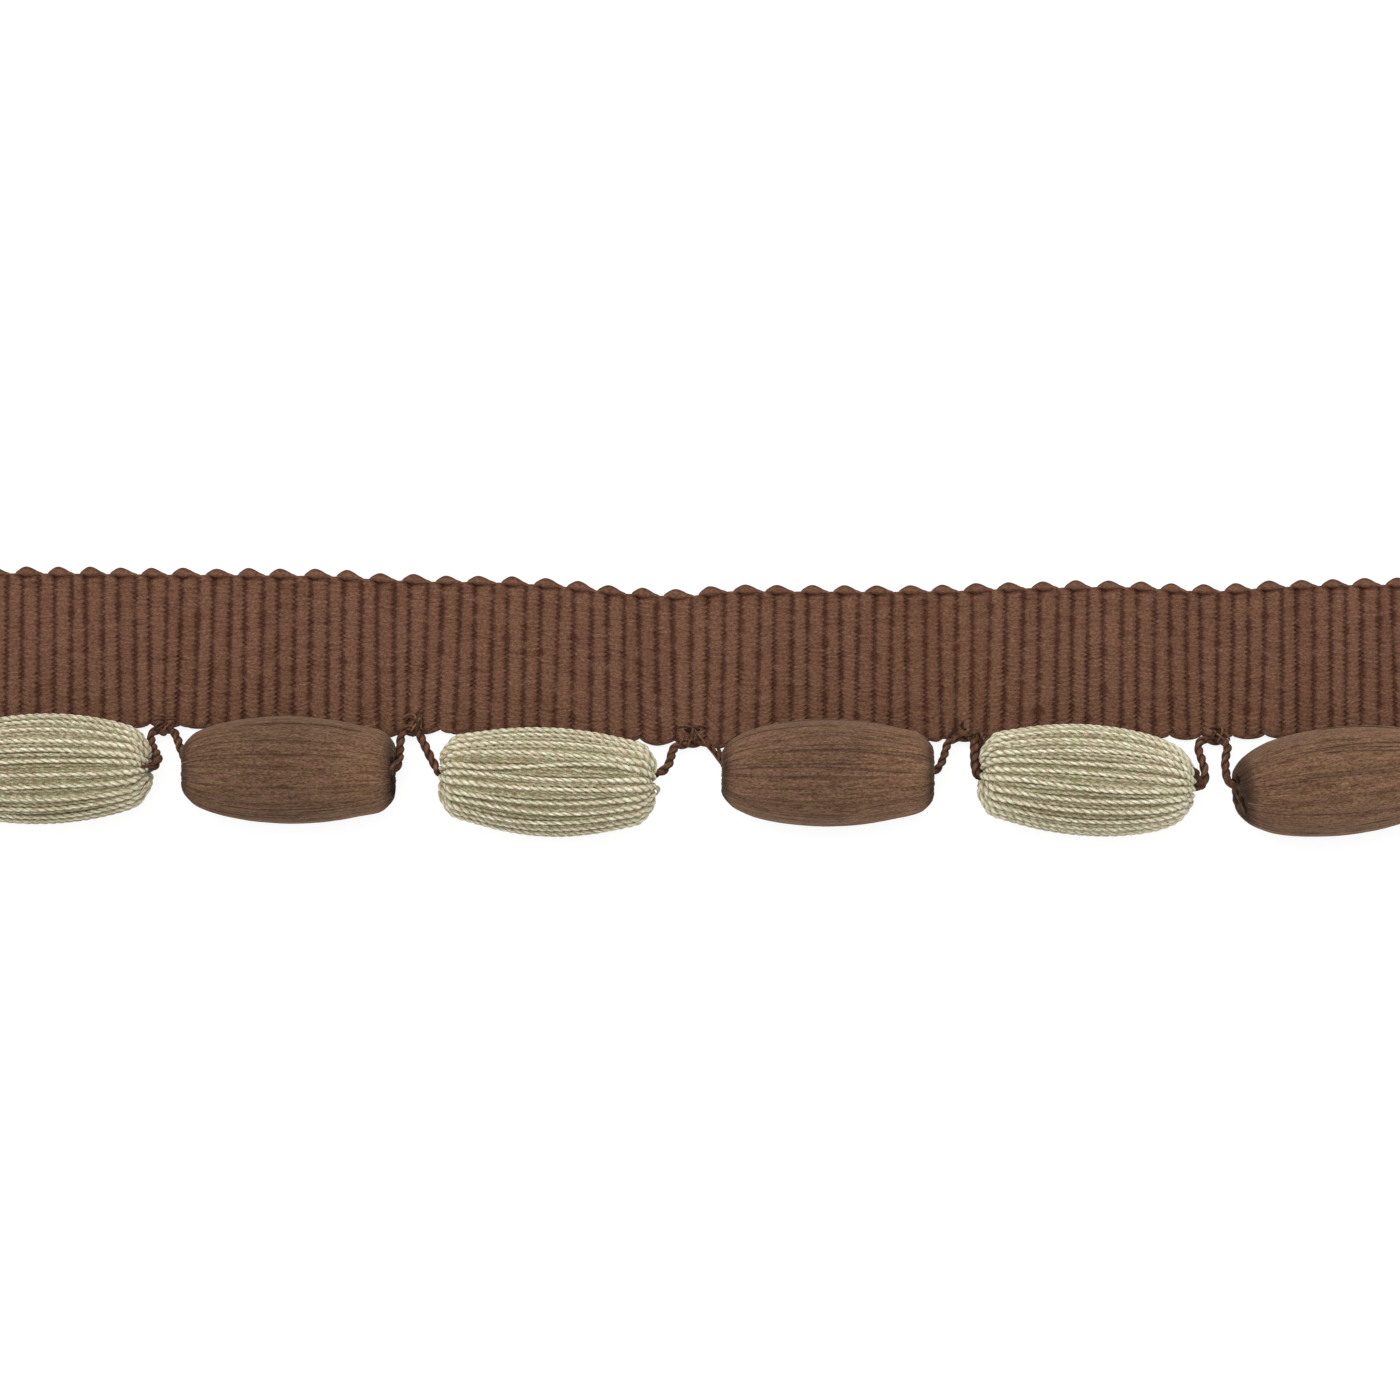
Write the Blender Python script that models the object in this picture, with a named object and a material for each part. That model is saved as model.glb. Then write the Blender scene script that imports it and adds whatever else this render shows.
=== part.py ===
"""Beaded braid trim: a ribbed braid tape with thread-wrapped barrel beads strung along its lower edge.

The trim lies face up on a flat surface at z = 0. +X runs along the tape, +Y from the beads to the tape's
upper edge, and +Z is up. The origin is on the surface, under the middle of the whole piece.
"""

import math

import bmesh
import bpy
import numpy as np
from mathutils import Matrix, Vector

MM = 0.001

# Level clearance between the tape's edge and a bead, which leaves 0.3 mm between their sloping surfaces
GAP = 0.5 * MM

# Braid tape: cross ribs, with a row of small weft loops along each edge that takes in two ribs a loop
RIB_COUNT = 96
RIB_PITCH = 1.633 * MM
TAPE_LENGTH = RIB_COUNT * RIB_PITCH
CREST_HEIGHT = 1.5 * MM
VALLEY_HEIGHT = 0.95 * MM
RIB_COLUMNS = (0.0, 0.28, 0.72)  # where across its pitch a rib has points: the valley and both shoulders
EDGE_HEIGHT = 0.8 * MM
EDGE_ROUNDING = 0.45 * MM
TOP_LOOP = 0.75 * MM
BOTTOM_LOOP = 0.35 * MM

# The tape lies in a shallow wave. Columns: x, upper edge between loops, lower edge at the loops, in mm
TAPE_EDGES = (
    (-78.4, 12.9, -2.6),
    (-61.5, 12.8, -2.6),
    (-39.0, 12.6, -2.8),
    (-29.0, 12.1, -2.95),
    (-25.0, 11.9, -2.9),
    (-13.0, 11.5, -3.5),
    (-5.0, 10.8, -4.1),
    (-0.5, 10.5, -4.4),
    (2.8, 11.1, -4.3),
    (19.8, 11.1, -3.9),
    (33.0, 11.4, -3.7),
    (43.0, 11.5, -3.6),
    (52.0, 11.1, -3.9),
    (65.5, 11.6, -3.5),
    (78.4, 11.7, -3.4),
)
EDGE_BLEND = (-1.6 * MM, -0.8 * MM, 0.0, 0.8 * MM, 1.6 * MM)

# Where the cord is caught, the tape's lower edge is drawn up and its ribs in. Columns: x, rise, in mm
CATCHES = (
    (-77.0, 0.5),
    (-53.0, 0.5),
    (-28.0, 0.45),
    (0.0, 0.85),
    (27.2, 0.7),
    (52.1, 0.6),
    (76.9, 0.45),
)
CATCH_WIDTH = 1.6 * MM
GATHER = 0.35 * MM
GATHER_WIDTH = 3.0 * MM

# Barrel beads. Columns: name, wrap, x, y, length, largest radius, in mm, turn about Z, pitch of the
# right-hand end upwards, in degrees
BEADS = (
    ("bead_1_cream", "cream", -64.3, -6.65, 21.6, 5.5, 1.0, 3.0),
    ("bead_2_brown", "brown", -39.95, -6.75, 21.1, 5.4, 0.0, 0.0),
    ("bead_3_cream", "cream", -14.25, -7.95, 21.6, 5.45, 0.0, 0.0),
    ("bead_4_brown", "brown", 13.5, -7.05, 21.1, 5.35, 0.0, 0.0),
    ("bead_5_cream", "cream", 39.2, -7.75, 21.5, 5.55, -2.0, 0.0),
    ("bead_6_brown", "brown", 64.3, -7.85, 21.2, 5.45, 3.5, -5.0),
)

# Half of a bead's outline, middle to end. Columns: share of the half length, share of the largest radius
BEAD_OUTLINES = {
    "cream": ((0.14, 0.995), (0.42, 0.94), (0.69, 0.83), (0.87, 0.69), (0.955, 0.5), (1.0, 0.33)),
    "brown": ((0.12, 0.995), (0.4, 0.945), (0.66, 0.845), (0.86, 0.695), (0.955, 0.53), (1.0, 0.38)),
}
WRAP_CORDS = 26  # cream cords that lie lengthwise round a bead
WRAP_VALLEY = 0.945  # radius between two wrapped cords, as a share of the radius on top of them
BROWN_SIDES = 26
BORE_SIDES = 13
BORE_RADIUS = 1.15 * MM
MOUTH_DEPTH = 0.09  # how far the wrapped mouth dips in, as a share of the half length
SINK = 0.12 * MM  # a bead's weight presses its underside this far flat
FLAT_SPOT = 0.25 * MM  # wraps that end up lower than this are pressed on to the surface

# Stringing cord, two strands laid together. Its route's columns: x, y, z in mm, left end to right end
CORD_RADIUS = 0.34 * MM
STRAND_BULGE = 0.24
STRAND_LAY = 1.7 * MM  # length of one full turn of a strand
CORD_SIDES = 6
CORD_STEP = STRAND_LAY / 6
BORE_STRIDE = 16  # steps taken at once where the cord is hidden in a bead
CATCH_SWELL = 1.1  # how much fatter the cord is where stitches hold it
CORD_ROUTE = (
    # left end, sewn to the tape
    (-77.7, -2.95, 1.0), (-77.0, -3.05, 1.0), (-76.4, -3.5, 1.3), (-76.1, -4.5, 2.4), (-76.0, -5.7, 3.8),
    # bead 1
    (-75.3, -6.75, 4.75), (-73.9, -6.85, 4.95), (-64.3, -6.65, 5.38), (-54.8, -6.45, 5.9),
    # between beads 1 and 2
    (-53.5, -6.4, 5.95), (-52.75, -5.9, 5.5), (-52.8, -4.9, 4.1), (-53.5, -4.1, 2.6), (-53.95, -3.4, 1.4),
    (-53.6, -3.1, 1.0), (-52.3, -3.1, 1.0), (-51.75, -3.4, 1.3), (-51.35, -4.3, 2.6), (-51.25, -5.5, 4.2),
    # bead 2
    (-51.0, -6.45, 5.1), (-49.9, -6.75, 5.28), (-39.95, -6.75, 5.28), (-30.0, -6.75, 5.28),
    # between beads 2 and 3
    (-29.1, -6.5, 5.15), (-28.6, -5.7, 4.4), (-28.65, -4.7, 3.0), (-28.9, -3.8, 1.6), (-28.6, -3.4, 1.05),
    (-27.5, -3.35, 1.0), (-26.95, -3.75, 1.5), (-26.5, -4.8, 3.0), (-26.0, -6.2, 4.5),
    # bead 3
    (-25.4, -7.5, 5.2), (-24.3, -7.95, 5.33), (-14.25, -7.95, 5.33), (-4.1, -7.95, 5.33),
    # between beads 3 and 4
    (-3.0, -7.75, 5.25), (-2.25, -7.1, 4.9), (-1.95, -6.0, 3.7), (-1.75, -5.0, 2.1), (-1.3, -4.5, 1.1),
    (-0.2, -4.45, 1.0), (0.9, -4.5, 1.1), (1.6, -5.0, 2.1), (2.05, -5.9, 3.7), (2.15, -6.7, 4.85),
    # bead 4
    (2.6, -7.0, 5.2), (3.6, -7.05, 5.23), (13.5, -7.05, 5.23), (23.4, -7.05, 5.23),
    # between beads 4 and 5
    (24.5, -6.85, 5.15), (25.1, -6.0, 4.5), (25.35, -5.0, 3.0), (25.7, -4.4, 1.6), (26.3, -4.15, 1.0),
    (27.3, -4.05, 1.0), (27.65, -4.5, 1.6), (27.6, -5.5, 3.2), (27.6, -6.6, 4.7),
    # bead 5
    (28.2, -7.3, 5.35), (29.3, -7.4, 5.43), (39.2, -7.75, 5.43), (49.1, -8.1, 5.43),
    # between beads 5 and 6
    (50.2, -8.25, 5.3), (51.0, -7.9, 4.8), (51.1, -6.6, 3.9), (50.85, -5.3, 2.6), (50.8, -4.5, 1.4),
    (51.3, -4.15, 1.0), (52.5, -4.15, 1.0), (53.0, -4.6, 1.5), (53.0, -5.9, 3.2), (52.75, -7.3, 5.0),
    # bead 6
    (53.1, -8.3, 6.1), (54.4, -8.5, 6.2), (64.3, -7.85, 5.35), (74.2, -7.25, 4.5),
    # right end, sewn to the tape
    (75.4, -7.0, 4.35), (76.1, -6.2, 3.7), (76.2, -5.1, 2.4), (76.4, -4.2, 1.3), (76.9, -3.85, 1.0),
    (77.7, -3.75, 1.0),
)


def clear_scene():
    for thing in list(bpy.data.objects):
        bpy.data.objects.remove(thing, do_unlink=True)


def cloth_material(name, colour, roughness):
    """A matt yarn finish. colour is linear red, green, blue."""
    material = bpy.data.materials.new(name)
    material.use_nodes = True
    shader = material.node_tree.nodes["Principled BSDF"]
    shader.inputs["Base Color"].default_value = (*colour, 1.0)
    shader.inputs["Roughness"].default_value = roughness
    shader.inputs["Metallic"].default_value = 0.0
    material.diffuse_color = (*colour, 1.0)
    return material


def new_object(name, shape, material):
    """Put a finished bmesh in the scene as one named object."""
    bmesh.ops.recalc_face_normals(shape, faces=shape.faces)
    mesh = bpy.data.meshes.new(name)
    shape.to_mesh(mesh)
    shape.free()
    mesh.materials.append(material)
    mesh.shade_smooth()
    mesh.set_sharp_from_angle(angle=math.radians(40))
    thing = bpy.data.objects.new(name, mesh)
    bpy.context.collection.objects.link(thing)
    return thing


def join_rings(shape, outer, inner):
    """Faces between two rings of points. The outer ring has a whole number of points for each inner one."""
    share = len(outer) // len(inner)
    for i in range(len(outer)):
        j = (i + 1) % len(outer)
        near, far = inner[i // share], inner[(j // share) % len(inner)]
        corners = (outer[i], outer[j], far, near) if near != far else (outer[i], outer[j], near)
        shape.faces.new(corners)


def bead_radius(bead, x):
    """The bead's outer radius where its axis passes x, or 0 past its ends."""
    _, wrap, centre, _, length, radius, _, _ = bead
    along = abs(x / MM - centre) / (length / 2)
    shares = ((0.0, 1.0),) + BEAD_OUTLINES[wrap]
    if along > 1.0:
        return 0.0
    return radius * MM * float(np.interp(along, [row[0] for row in shares], [row[1] for row in shares]))


def edge_below_beads(x, height):
    """The lowest y that keeps the tape's edge clear of the beads at x, for a point at this height."""
    lowest = -math.inf
    for bead in BEADS:
        radius = bead_radius(bead, x)
        drop = bead[5] * MM - SINK - height
        if radius > drop:
            lowest = max(lowest, bead[3] * MM + math.sqrt(radius * radius - drop * drop) + GAP)
    return lowest


def tape_edges(x):
    """The tape's upper edge between loops and its lower edge at the loops, at x."""
    table = np.array(TAPE_EDGES) * MM
    upper = np.mean([np.interp(x + step, table[:, 0], table[:, 1]) for step in EDGE_BLEND])
    lower = np.mean([np.interp(x + step, table[:, 0], table[:, 2]) for step in EDGE_BLEND])
    for centre, rise in CATCHES:
        lower += rise * MM * math.exp(-(((x - centre * MM) / CATCH_WIDTH) ** 2))
    lower = max(
        lower,
        edge_below_beads(x, EDGE_HEIGHT),
        edge_below_beads(x, CREST_HEIGHT) - EDGE_ROUNDING,
    )
    return float(upper), float(lower)


def weft_loop(ribs):
    """How far a loop stands out, from 0 between two loops to 1 at a loop's middle, after this many ribs."""
    from_middle = abs(ribs % 2.0 - 1.0)
    return math.sqrt(max(0.0, 1.0 - (from_middle / 0.88) ** 2))


def rib_lean(x, height_share):
    """How far a rib is drawn sideways to the nearest catch, most at the lower edge (share 0)."""
    lean = 0.0
    for centre, _ in CATCHES:
        away = (x - centre * MM) / GATHER_WIDTH
        lean -= GATHER * away * math.exp(0.5 - 0.5 * away * away)
    return lean * (1.0 - height_share) ** 2


def tape_section(x, ribs, height):
    """The corners of the tape's cross-section at x, from the lower edge's foot round over the top."""
    upper, lower = tape_edges(x)
    crown = upper + TOP_LOOP * weft_loop(ribs)
    hem = lower + BOTTOM_LOOP * (1.0 - weft_loop(ribs + 1.0))
    width = upper - lower
    rows = (
        (hem, 0.0),
        (hem, EDGE_HEIGHT),
        (lower + EDGE_ROUNDING, height),
        (lower + 0.35 * width, height),
        (lower + 0.7 * width, height),
        (upper - 0.5 * EDGE_ROUNDING, height),
        (crown, EDGE_HEIGHT),
        (crown, 0.0),
    )
    return [Vector((x + rib_lean(x, (y - lower) / width), y, z)) for y, z in rows]


def build_tape(material):
    shape = bmesh.new()
    sections = []
    for rib in range(RIB_COUNT):
        for column in RIB_COLUMNS:
            height = VALLEY_HEIGHT if column == 0.0 else CREST_HEIGHT
            x = (rib + column) * RIB_PITCH - TAPE_LENGTH / 2
            sections.append(tape_section(x, rib + column, height))
    sections.append(tape_section(TAPE_LENGTH / 2, float(RIB_COUNT), VALLEY_HEIGHT))
    rings = [[shape.verts.new(point) for point in section] for section in sections]
    for near, far in zip(rings, rings[1:]):
        join_rings(shape, near, far)
    shape.faces.new(rings[0])
    shape.faces.new(rings[-1])
    return new_object("ribbed_tape", shape, material)


def bead_ring(along, radii):
    """Points round the bead's axis, which is local X, one for each radius, starting underneath."""
    turn = 2 * math.pi / len(radii)
    return [
        Vector((along, radius * math.sin(i * turn), -radius * math.cos(i * turn)))
        for i, radius in enumerate(radii)
    ]


def build_bead(bead, material):
    """One wrapped bead: cream ones have their cords raised as ridges, and both have an open bore."""
    name, wrap, x, y, length, radius, turn, pitch = bead
    half = length * MM / 2
    outline = BEAD_OUTLINES[wrap]
    stations = [(-along, share) for along, share in reversed(outline)] + list(outline)
    rings = []
    for along, share in stations:
        top = share * radius * MM
        radii = [top, top * WRAP_VALLEY] * WRAP_CORDS if wrap == "cream" else [top] * BROWN_SIDES
        rings.append(bead_ring(along * half, radii))
    mouth = (1.0 - MOUTH_DEPTH) * half
    bore = [bead_ring(end * mouth, [BORE_RADIUS] * BORE_SIDES) for end in (-1, 1)]

    lie = Matrix.Rotation(math.radians(turn), 4, "Z") @ Matrix.Rotation(math.radians(-pitch), 4, "Y")
    lowest = min((lie @ point).z for ring in rings for point in ring)
    place = Matrix.Translation((x * MM, y * MM, -lowest - SINK)) @ lie
    shape = bmesh.new()

    def set_down(ring):
        points = [place @ point for point in ring]
        for point in points:
            if point.z < FLAT_SPOT:
                point.z = 0.0
        return [shape.verts.new(point) for point in points]

    outer = [set_down(ring) for ring in rings]
    inner = [set_down(ring) for ring in bore]
    for near, far in zip(outer, outer[1:]):
        join_rings(shape, near, far)
    join_rings(shape, outer[0], inner[0])
    join_rings(shape, outer[-1], inner[1])
    join_rings(shape, inner[0], inner[1])
    return new_object(name, shape, material)


def smooth_route(points, step):
    """Points a step apart along a smooth curve through the given ones."""
    held = np.vstack([2 * points[0] - points[1], points, 2 * points[-1] - points[-2]])
    fine = []
    for before, start, end, after in zip(held, held[1:], held[2:], held[3:]):
        for share in np.linspace(0.0, 1.0, 24, endpoint=False):
            square, cube = share * share, share**3
            fine.append(
                0.5 * (2 * start + (end - before) * share
                       + (2 * before - 5 * start + 4 * end - after) * square
                       + (3 * start - before - 3 * end + after) * cube)
            )
    fine = np.array(fine + [points[-1]])
    run = np.concatenate([[0.0], np.cumsum(np.linalg.norm(np.diff(fine, axis=0), axis=1))])
    marks = np.arange(0.0, run[-1], step)
    return np.column_stack([np.interp(marks, run, fine[:, axis]) for axis in range(3)]), marks


def in_bore(point):
    """Whether this point of the cord is well inside a bead."""
    return any(abs(point[0] / MM - bead[2]) < 0.44 * bead[4] for bead in BEADS)


def at_catch(point):
    return any(
        abs(point[0] - centre * MM) < CATCH_WIDTH / 2 and point[2] < EDGE_HEIGHT + 0.4 * MM
        for centre, _ in CATCHES
    )


def build_cord(material):
    """One cord through all the beads, its two strands raised as a twist where it shows."""
    points, marks = smooth_route(np.array(CORD_ROUTE) * MM, CORD_STEP)
    hidden = [in_bore(point) for point in points]
    kept = [i for i in range(len(points)) if not hidden[i] or i % BORE_STRIDE == 0]
    shape = bmesh.new()
    rings = []
    normal = Vector((0.0, 0.0, 1.0))
    for order, i in enumerate(kept):
        before = points[kept[max(order - 1, 0)]]
        after = points[kept[min(order + 1, len(kept) - 1)]]
        tangent = Vector(after - before).normalized()
        normal = (normal - normal.dot(tangent) * tangent).normalized()
        side = tangent.cross(normal)
        phase = 2 * math.pi * marks[i] / STRAND_LAY
        radius = CORD_RADIUS * (CATCH_SWELL if at_catch(points[i]) else 1.0)
        bulge = 0.0 if hidden[i] else STRAND_BULGE
        ring = []
        for corner in range(CORD_SIDES):
            angle = 2 * math.pi * corner / CORD_SIDES
            reach = radius * (1.0 + bulge * math.cos(2 * (angle - phase)))
            offset = reach * (math.cos(angle) * normal + math.sin(angle) * side)
            ring.append(shape.verts.new(Vector(points[i]) + offset))
        rings.append(ring)
    for near, far in zip(rings, rings[1:]):
        join_rings(shape, near, far)
    shape.faces.new(rings[0])
    shape.faces.new(rings[-1])
    return new_object("stringing_cord", shape, material)


clear_scene()
wraps = {
    "cream": cloth_material("cream wrapping cord", (0.40, 0.355, 0.235), 0.75),
    "brown": cloth_material("brown wrapping floss", (0.145, 0.075, 0.046), 0.7),
}
build_tape(cloth_material("brown tape yarn", (0.125, 0.058, 0.036), 0.85))
for bead_row in BEADS:
    build_bead(bead_row, wraps[bead_row[1]])
build_cord(cloth_material("brown stringing cord", (0.07, 0.032, 0.019), 0.8))
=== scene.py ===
"""The looks of the beaded braid trim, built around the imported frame.

The tape is one ribbed surface with weft loops along both edges. The cream beads are wrapped in two
layers of two-ply cord, and the brown ones in a streaked surface of floss with loose strands. The
stringing cord and the threads that catch it to the tape are tubes. Lengths are in millimetres until a
mesh is made. +X runs along the tape, +Y from the beads to the tape's upper edge, and +Z is up.
"""

import math
from collections import namedtuple

import bpy
import numpy as np
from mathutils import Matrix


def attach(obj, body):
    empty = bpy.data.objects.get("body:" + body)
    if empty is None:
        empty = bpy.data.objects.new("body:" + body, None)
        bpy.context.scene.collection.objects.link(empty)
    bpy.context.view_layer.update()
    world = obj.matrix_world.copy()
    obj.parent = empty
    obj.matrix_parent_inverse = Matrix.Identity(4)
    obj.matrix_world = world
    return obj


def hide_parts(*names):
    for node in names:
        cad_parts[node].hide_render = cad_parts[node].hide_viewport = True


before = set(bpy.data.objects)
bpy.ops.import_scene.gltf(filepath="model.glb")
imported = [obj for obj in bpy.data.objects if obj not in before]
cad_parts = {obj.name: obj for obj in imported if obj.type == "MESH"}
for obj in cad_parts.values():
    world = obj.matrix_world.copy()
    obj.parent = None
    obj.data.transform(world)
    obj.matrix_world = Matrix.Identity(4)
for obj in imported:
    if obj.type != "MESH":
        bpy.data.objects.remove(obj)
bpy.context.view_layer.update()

MM = 0.001

# The camera looks straight down from here
CAMERA_HEIGHT = 481.5
CAMERA_X, CAMERA_Y = 0.85, 0.2
LENS, SENSOR = 123.43, 36

# Values that part.py has too: the tape
GAP = 0.5
RIB_COUNT = 96
RIB_PITCH = 1.633
TAPE_LENGTH = RIB_COUNT * RIB_PITCH
CREST_HEIGHT = 1.5
VALLEY_HEIGHT = 0.95
EDGE_HEIGHT = 0.8
EDGE_ROUNDING = 0.45
BOTTOM_LOOP = 0.35
CATCH_WIDTH = 1.6
GATHER = 0.35
GATHER_WIDTH = 3

# Read more finely than in part.py. Columns: x, upper edge between loops, lower edge at the loops
TAPE_EDGES = np.array((
    (-78.4, 12.9, -2.6), (-61.5, 12.8, -2.6), (-39, 12.6, -2.8), (-35, 12.52, -2.96),
    (-31.6, 12.2, -3.1), (-29, 12.1, -3.3), (-25, 11.97, -3.28), (-21, 11.98, -3.32),
    (-17, 11.82, -3.41), (-13, 11.55, -3.5), (-7, 10.82, -3.95), (-5, 10.7, -4.1),
    (-0.3, 10.45, -4.4), (2.8, 11.05, -4.3), (19.8, 10.98, -3.9), (27, 11.08, -3.8),
    (33, 11.35, -3.7), (43, 11.5, -3.6), (51, 11.02, -3.88), (54.6, 11.1, -3.77),
    (57.5, 11.42, -3.7), (65.5, 11.67, -3.5), (78.4, 11.75, -3.4),
))
# Where the lower edge hangs further down beside a catch. Columns: x, how far, half the width
HEM_DROPS = (
    (-30.3, 0.5, 0.6), (-25.2, -0.3, 0.8), (-3.6, 0.2, 1.1), (2.7, 0.45, 0.8), (24.6, 0.45, 0.6),
    (29.1, 0.65, 0.55),
)
EDGE_BLEND = (-1.6, -0.8, 0, 0.8, 1.6)

# Where the cord is caught to the tape. Columns: x, rise of the tape's lower edge
CATCHES = ((-77, 0.5), (-53, 0.5), (-28, 0.45), (0, 0.85), (27.2, 0.7), (52.1, 0.6), (76.9, 0.45))

# The beads. name to pitch are as in part.py: radius is the largest, turn is about Z, and pitch is of the
# right-hand end upwards, in degrees. The rest is how each looks in the photo: a further turn, how far
# both ends bend towards the tape, the share of the radius added at the left and at the right end, the
# share of the half length where the painted shade on the left end's face begins, and how much darker
# the yarn is at DIM_PLACES
Bead = namedtuple("Bead", "name wrap x y length radius turn pitch more bend left right face dims")
BEADS = (
    Bead("bead_1_cream", "cream", -64.3, -6.65, 21.6, 5.5, 1, 3,
         0.2, 0, 0, 0.02, 0.91, (0.02, 0.11, 0.16)),
    Bead("bead_2_brown", "brown", -39.95, -6.75, 21.1, 5.4, 0, 0,
         -0.8, 0, 0.01, 0.085, 0.91, (0.08, 0.2, -0.08)),
    Bead("bead_3_cream", "cream", -14.25, -7.95, 21.6, 5.45, 0, 0,
         -2.4, 0.3, 0.065, 0.055, 0.91, (0.13, 0, 0.03)),
    Bead("bead_4_brown", "brown", 13.5, -7.05, 21.1, 5.35, 0, 0,
         0, 0, -0.02, 0.07, 0.91, (-0.06, 0.14, -0.22)),
    Bead("bead_5_cream", "cream", 39.2, -7.75, 21.5, 5.55, -2, 0,
         -1.7, 0, 0.065, -0.04, 0.91, (0.05, -0.13, -0.24)),
    Bead("bead_6_brown", "brown", 64.3, -7.85, 21.2, 5.45, 3.5, -5,
         2.4, 0, -0.04, 0, 0.83, (0, -0.1, -0.28)),
)
DIM_PLACES = (-0.75, 0, 0.75)  # from the middle, as shares of the half length
# Half of a bead's outline, middle to end. Columns: shares of the half length and of the largest radius
BEAD_OUTLINES = {
    "cream": ((0.14, 0.995), (0.42, 0.94), (0.69, 0.83), (0.87, 0.69), (0.955, 0.5), (1, 0.33)),
    "brown": ((0.12, 0.995), (0.4, 0.945), (0.66, 0.845), (0.86, 0.695), (0.955, 0.53), (1, 0.38)),
}
WRAP_CORDS = 26
CREAM_PHASE = 0.117  # how far round the first cord is from the top
SINK = 0.12
FLAT_SPOT = 0.25

# The stringing cord. Its points at each bead's left mouth, middle and right mouth are as in part.py
CORD_BORES = (
    ((-73.9, -6.85, 4.95), (-64.3, -6.65, 5.38), (-54.8, -6.45, 5.9)),
    ((-49.9, -6.75, 5.28), (-39.95, -6.75, 5.28), (-30, -6.75, 5.28)),
    ((-24.3, -7.35, 5.3), (-14.25, -7.95, 5.33), (-4.3, -7.6, 5.35)),
    ((3.6, -7.05, 5.23), (13.5, -7.05, 5.23), (23.4, -7.05, 5.23)),
    ((29.3, -7.4, 5.43), (39.2, -7.75, 5.43), (49.1, -8.1, 5.43)),
    ((54.4, -8.8, 6.2), (64.3, -7.85, 5.35), (74.2, -6.95, 4.5)),
)
# Its two sewn ends, as x, y, z
CORD_LEFT_END = (
    (-77.7, -2.75, 1), (-77, -2.85, 1), (-76.4, -3.4, 1.3), (-76.1, -4.5, 2.4), (-76, -5.7, 3.8),
    (-75.3, -6.75, 4.75),
)
CORD_RIGHT_END = (
    (75.4, -7, 4.35), (76.1, -6.2, 3.7), (76.2, -5.1, 2.4), (76.4, -4.1, 1.3), (76.9, -3.7, 1),
    (77.7, -3.6, 1),
)
# Between two beads it is sewn to the tape. Columns: x and y as they look from the camera beside the
# tape's crests, height, strand radius
CORD_LEGS = (
    # beads 1 and 2
    ((-54, -6.45, 5.95, 0.3), (-53.5, -5.95, 5.5, 0.36), (-53.45, -5.45, 4.9, 0.37),
     (-53.75, -4.8, 3.6, 0.32), (-54, -3.95, 2.3, 0.3), (-54, -3.2, 1.4, 0.3),
     (-53.5, -2.85, 1.1, 0.29), (-52.9, -2.85, 1.1, 0.28), (-52.3, -2.75, 1.15, 0.29),
     (-51.8, -2.95, 1.4, 0.3), (-51.4, -3.7, 2.3, 0.3), (-51.1, -4.6, 3.5, 0.3),
     (-50.7, -5.6, 4.5, 0.28), (-50.3, -6.4, 5.1, 0.27)),
    # beads 2 and 3
    ((-29.8, -6.8, 5.25, 0.27), (-29.4, -6.4, 5, 0.28), (-29.2, -5.7, 4.4, 0.29),
     (-29.15, -4.7, 3.1, 0.3), (-29.05, -3.6, 2, 0.3), (-28.8, -2.95, 1.3, 0.29),
     (-28.3, -2.75, 1.2, 0.28), (-27.75, -2.8, 1.2, 0.28), (-27.3, -3.1, 1.4, 0.3),
     (-26.85, -3.95, 2.3, 0.31), (-26.15, -5.4, 3.7, 0.31), (-25.5, -6.6, 4.7, 0.29),
     (-25.1, -7.15, 5.15, 0.26)),
    # beads 3 and 4
    ((-3.9, -7.3, 5.35, 0.28), (-3.4, -7.1, 5.25, 0.31), (-2.75, -6.8, 5, 0.31),
     (-2.2, -6.05, 4.3, 0.3), (-1.95, -5.1, 3, 0.31), (-1.6, -4.45, 1.7, 0.3),
     (-1, -4.3, 1.15, 0.29), (0.1, -4.2, 1.1, 0.28), (0.95, -4.1, 1.15, 0.26), (1.6, -4.2, 1.5, 0.24),
     (2.35, -5, 2.6, 0.2), (2.95, -5.9, 3.9, 0.18), (3.35, -6.5, 4.9, 0.18)),
    # beads 4 and 5
    ((23.8, -7, 5.25, 0.27), (24.4, -6.85, 5.15, 0.28), (24.95, -6.2, 4.7, 0.28),
     (25.35, -5.1, 3.4, 0.28), (25.6, -4.25, 2.2, 0.29), (26, -3.8, 1.4, 0.29),
     (26.7, -3.65, 1.1, 0.27), (27.6, -3.6, 1.1, 0.28), (28.2, -3.75, 1.35, 0.31),
     (28.3, -4.6, 2.4, 0.32), (28.3, -5.9, 3.7, 0.31), (28.45, -7, 4.9, 0.29),
     (28.95, -7.5, 5.35, 0.27)),
    # beads 5 and 6
    ((49.9, -8, 5.45, 0.27), (50.6, -8.3, 5.4, 0.31), (51.15, -8.2, 5.2, 0.32),
     (51.35, -7.3, 4.8, 0.31), (51.2, -6.3, 4.2, 0.3), (50.9, -5.35, 3.2, 0.3), (50.7, -4.6, 2.2, 0.3),
     (50.9, -3.95, 1.4, 0.29), (51.5, -3.8, 1.1, 0.28), (52.5, -3.95, 1.15, 0.28),
     (53.25, -3.95, 1.4, 0.3), (53.6, -4.6, 2.2, 0.3), (53.4, -5.7, 3.4, 0.3), (53.45, -6.9, 4.7, 0.3),
     (53.85, -8.1, 5.7, 0.27)),
)

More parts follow.
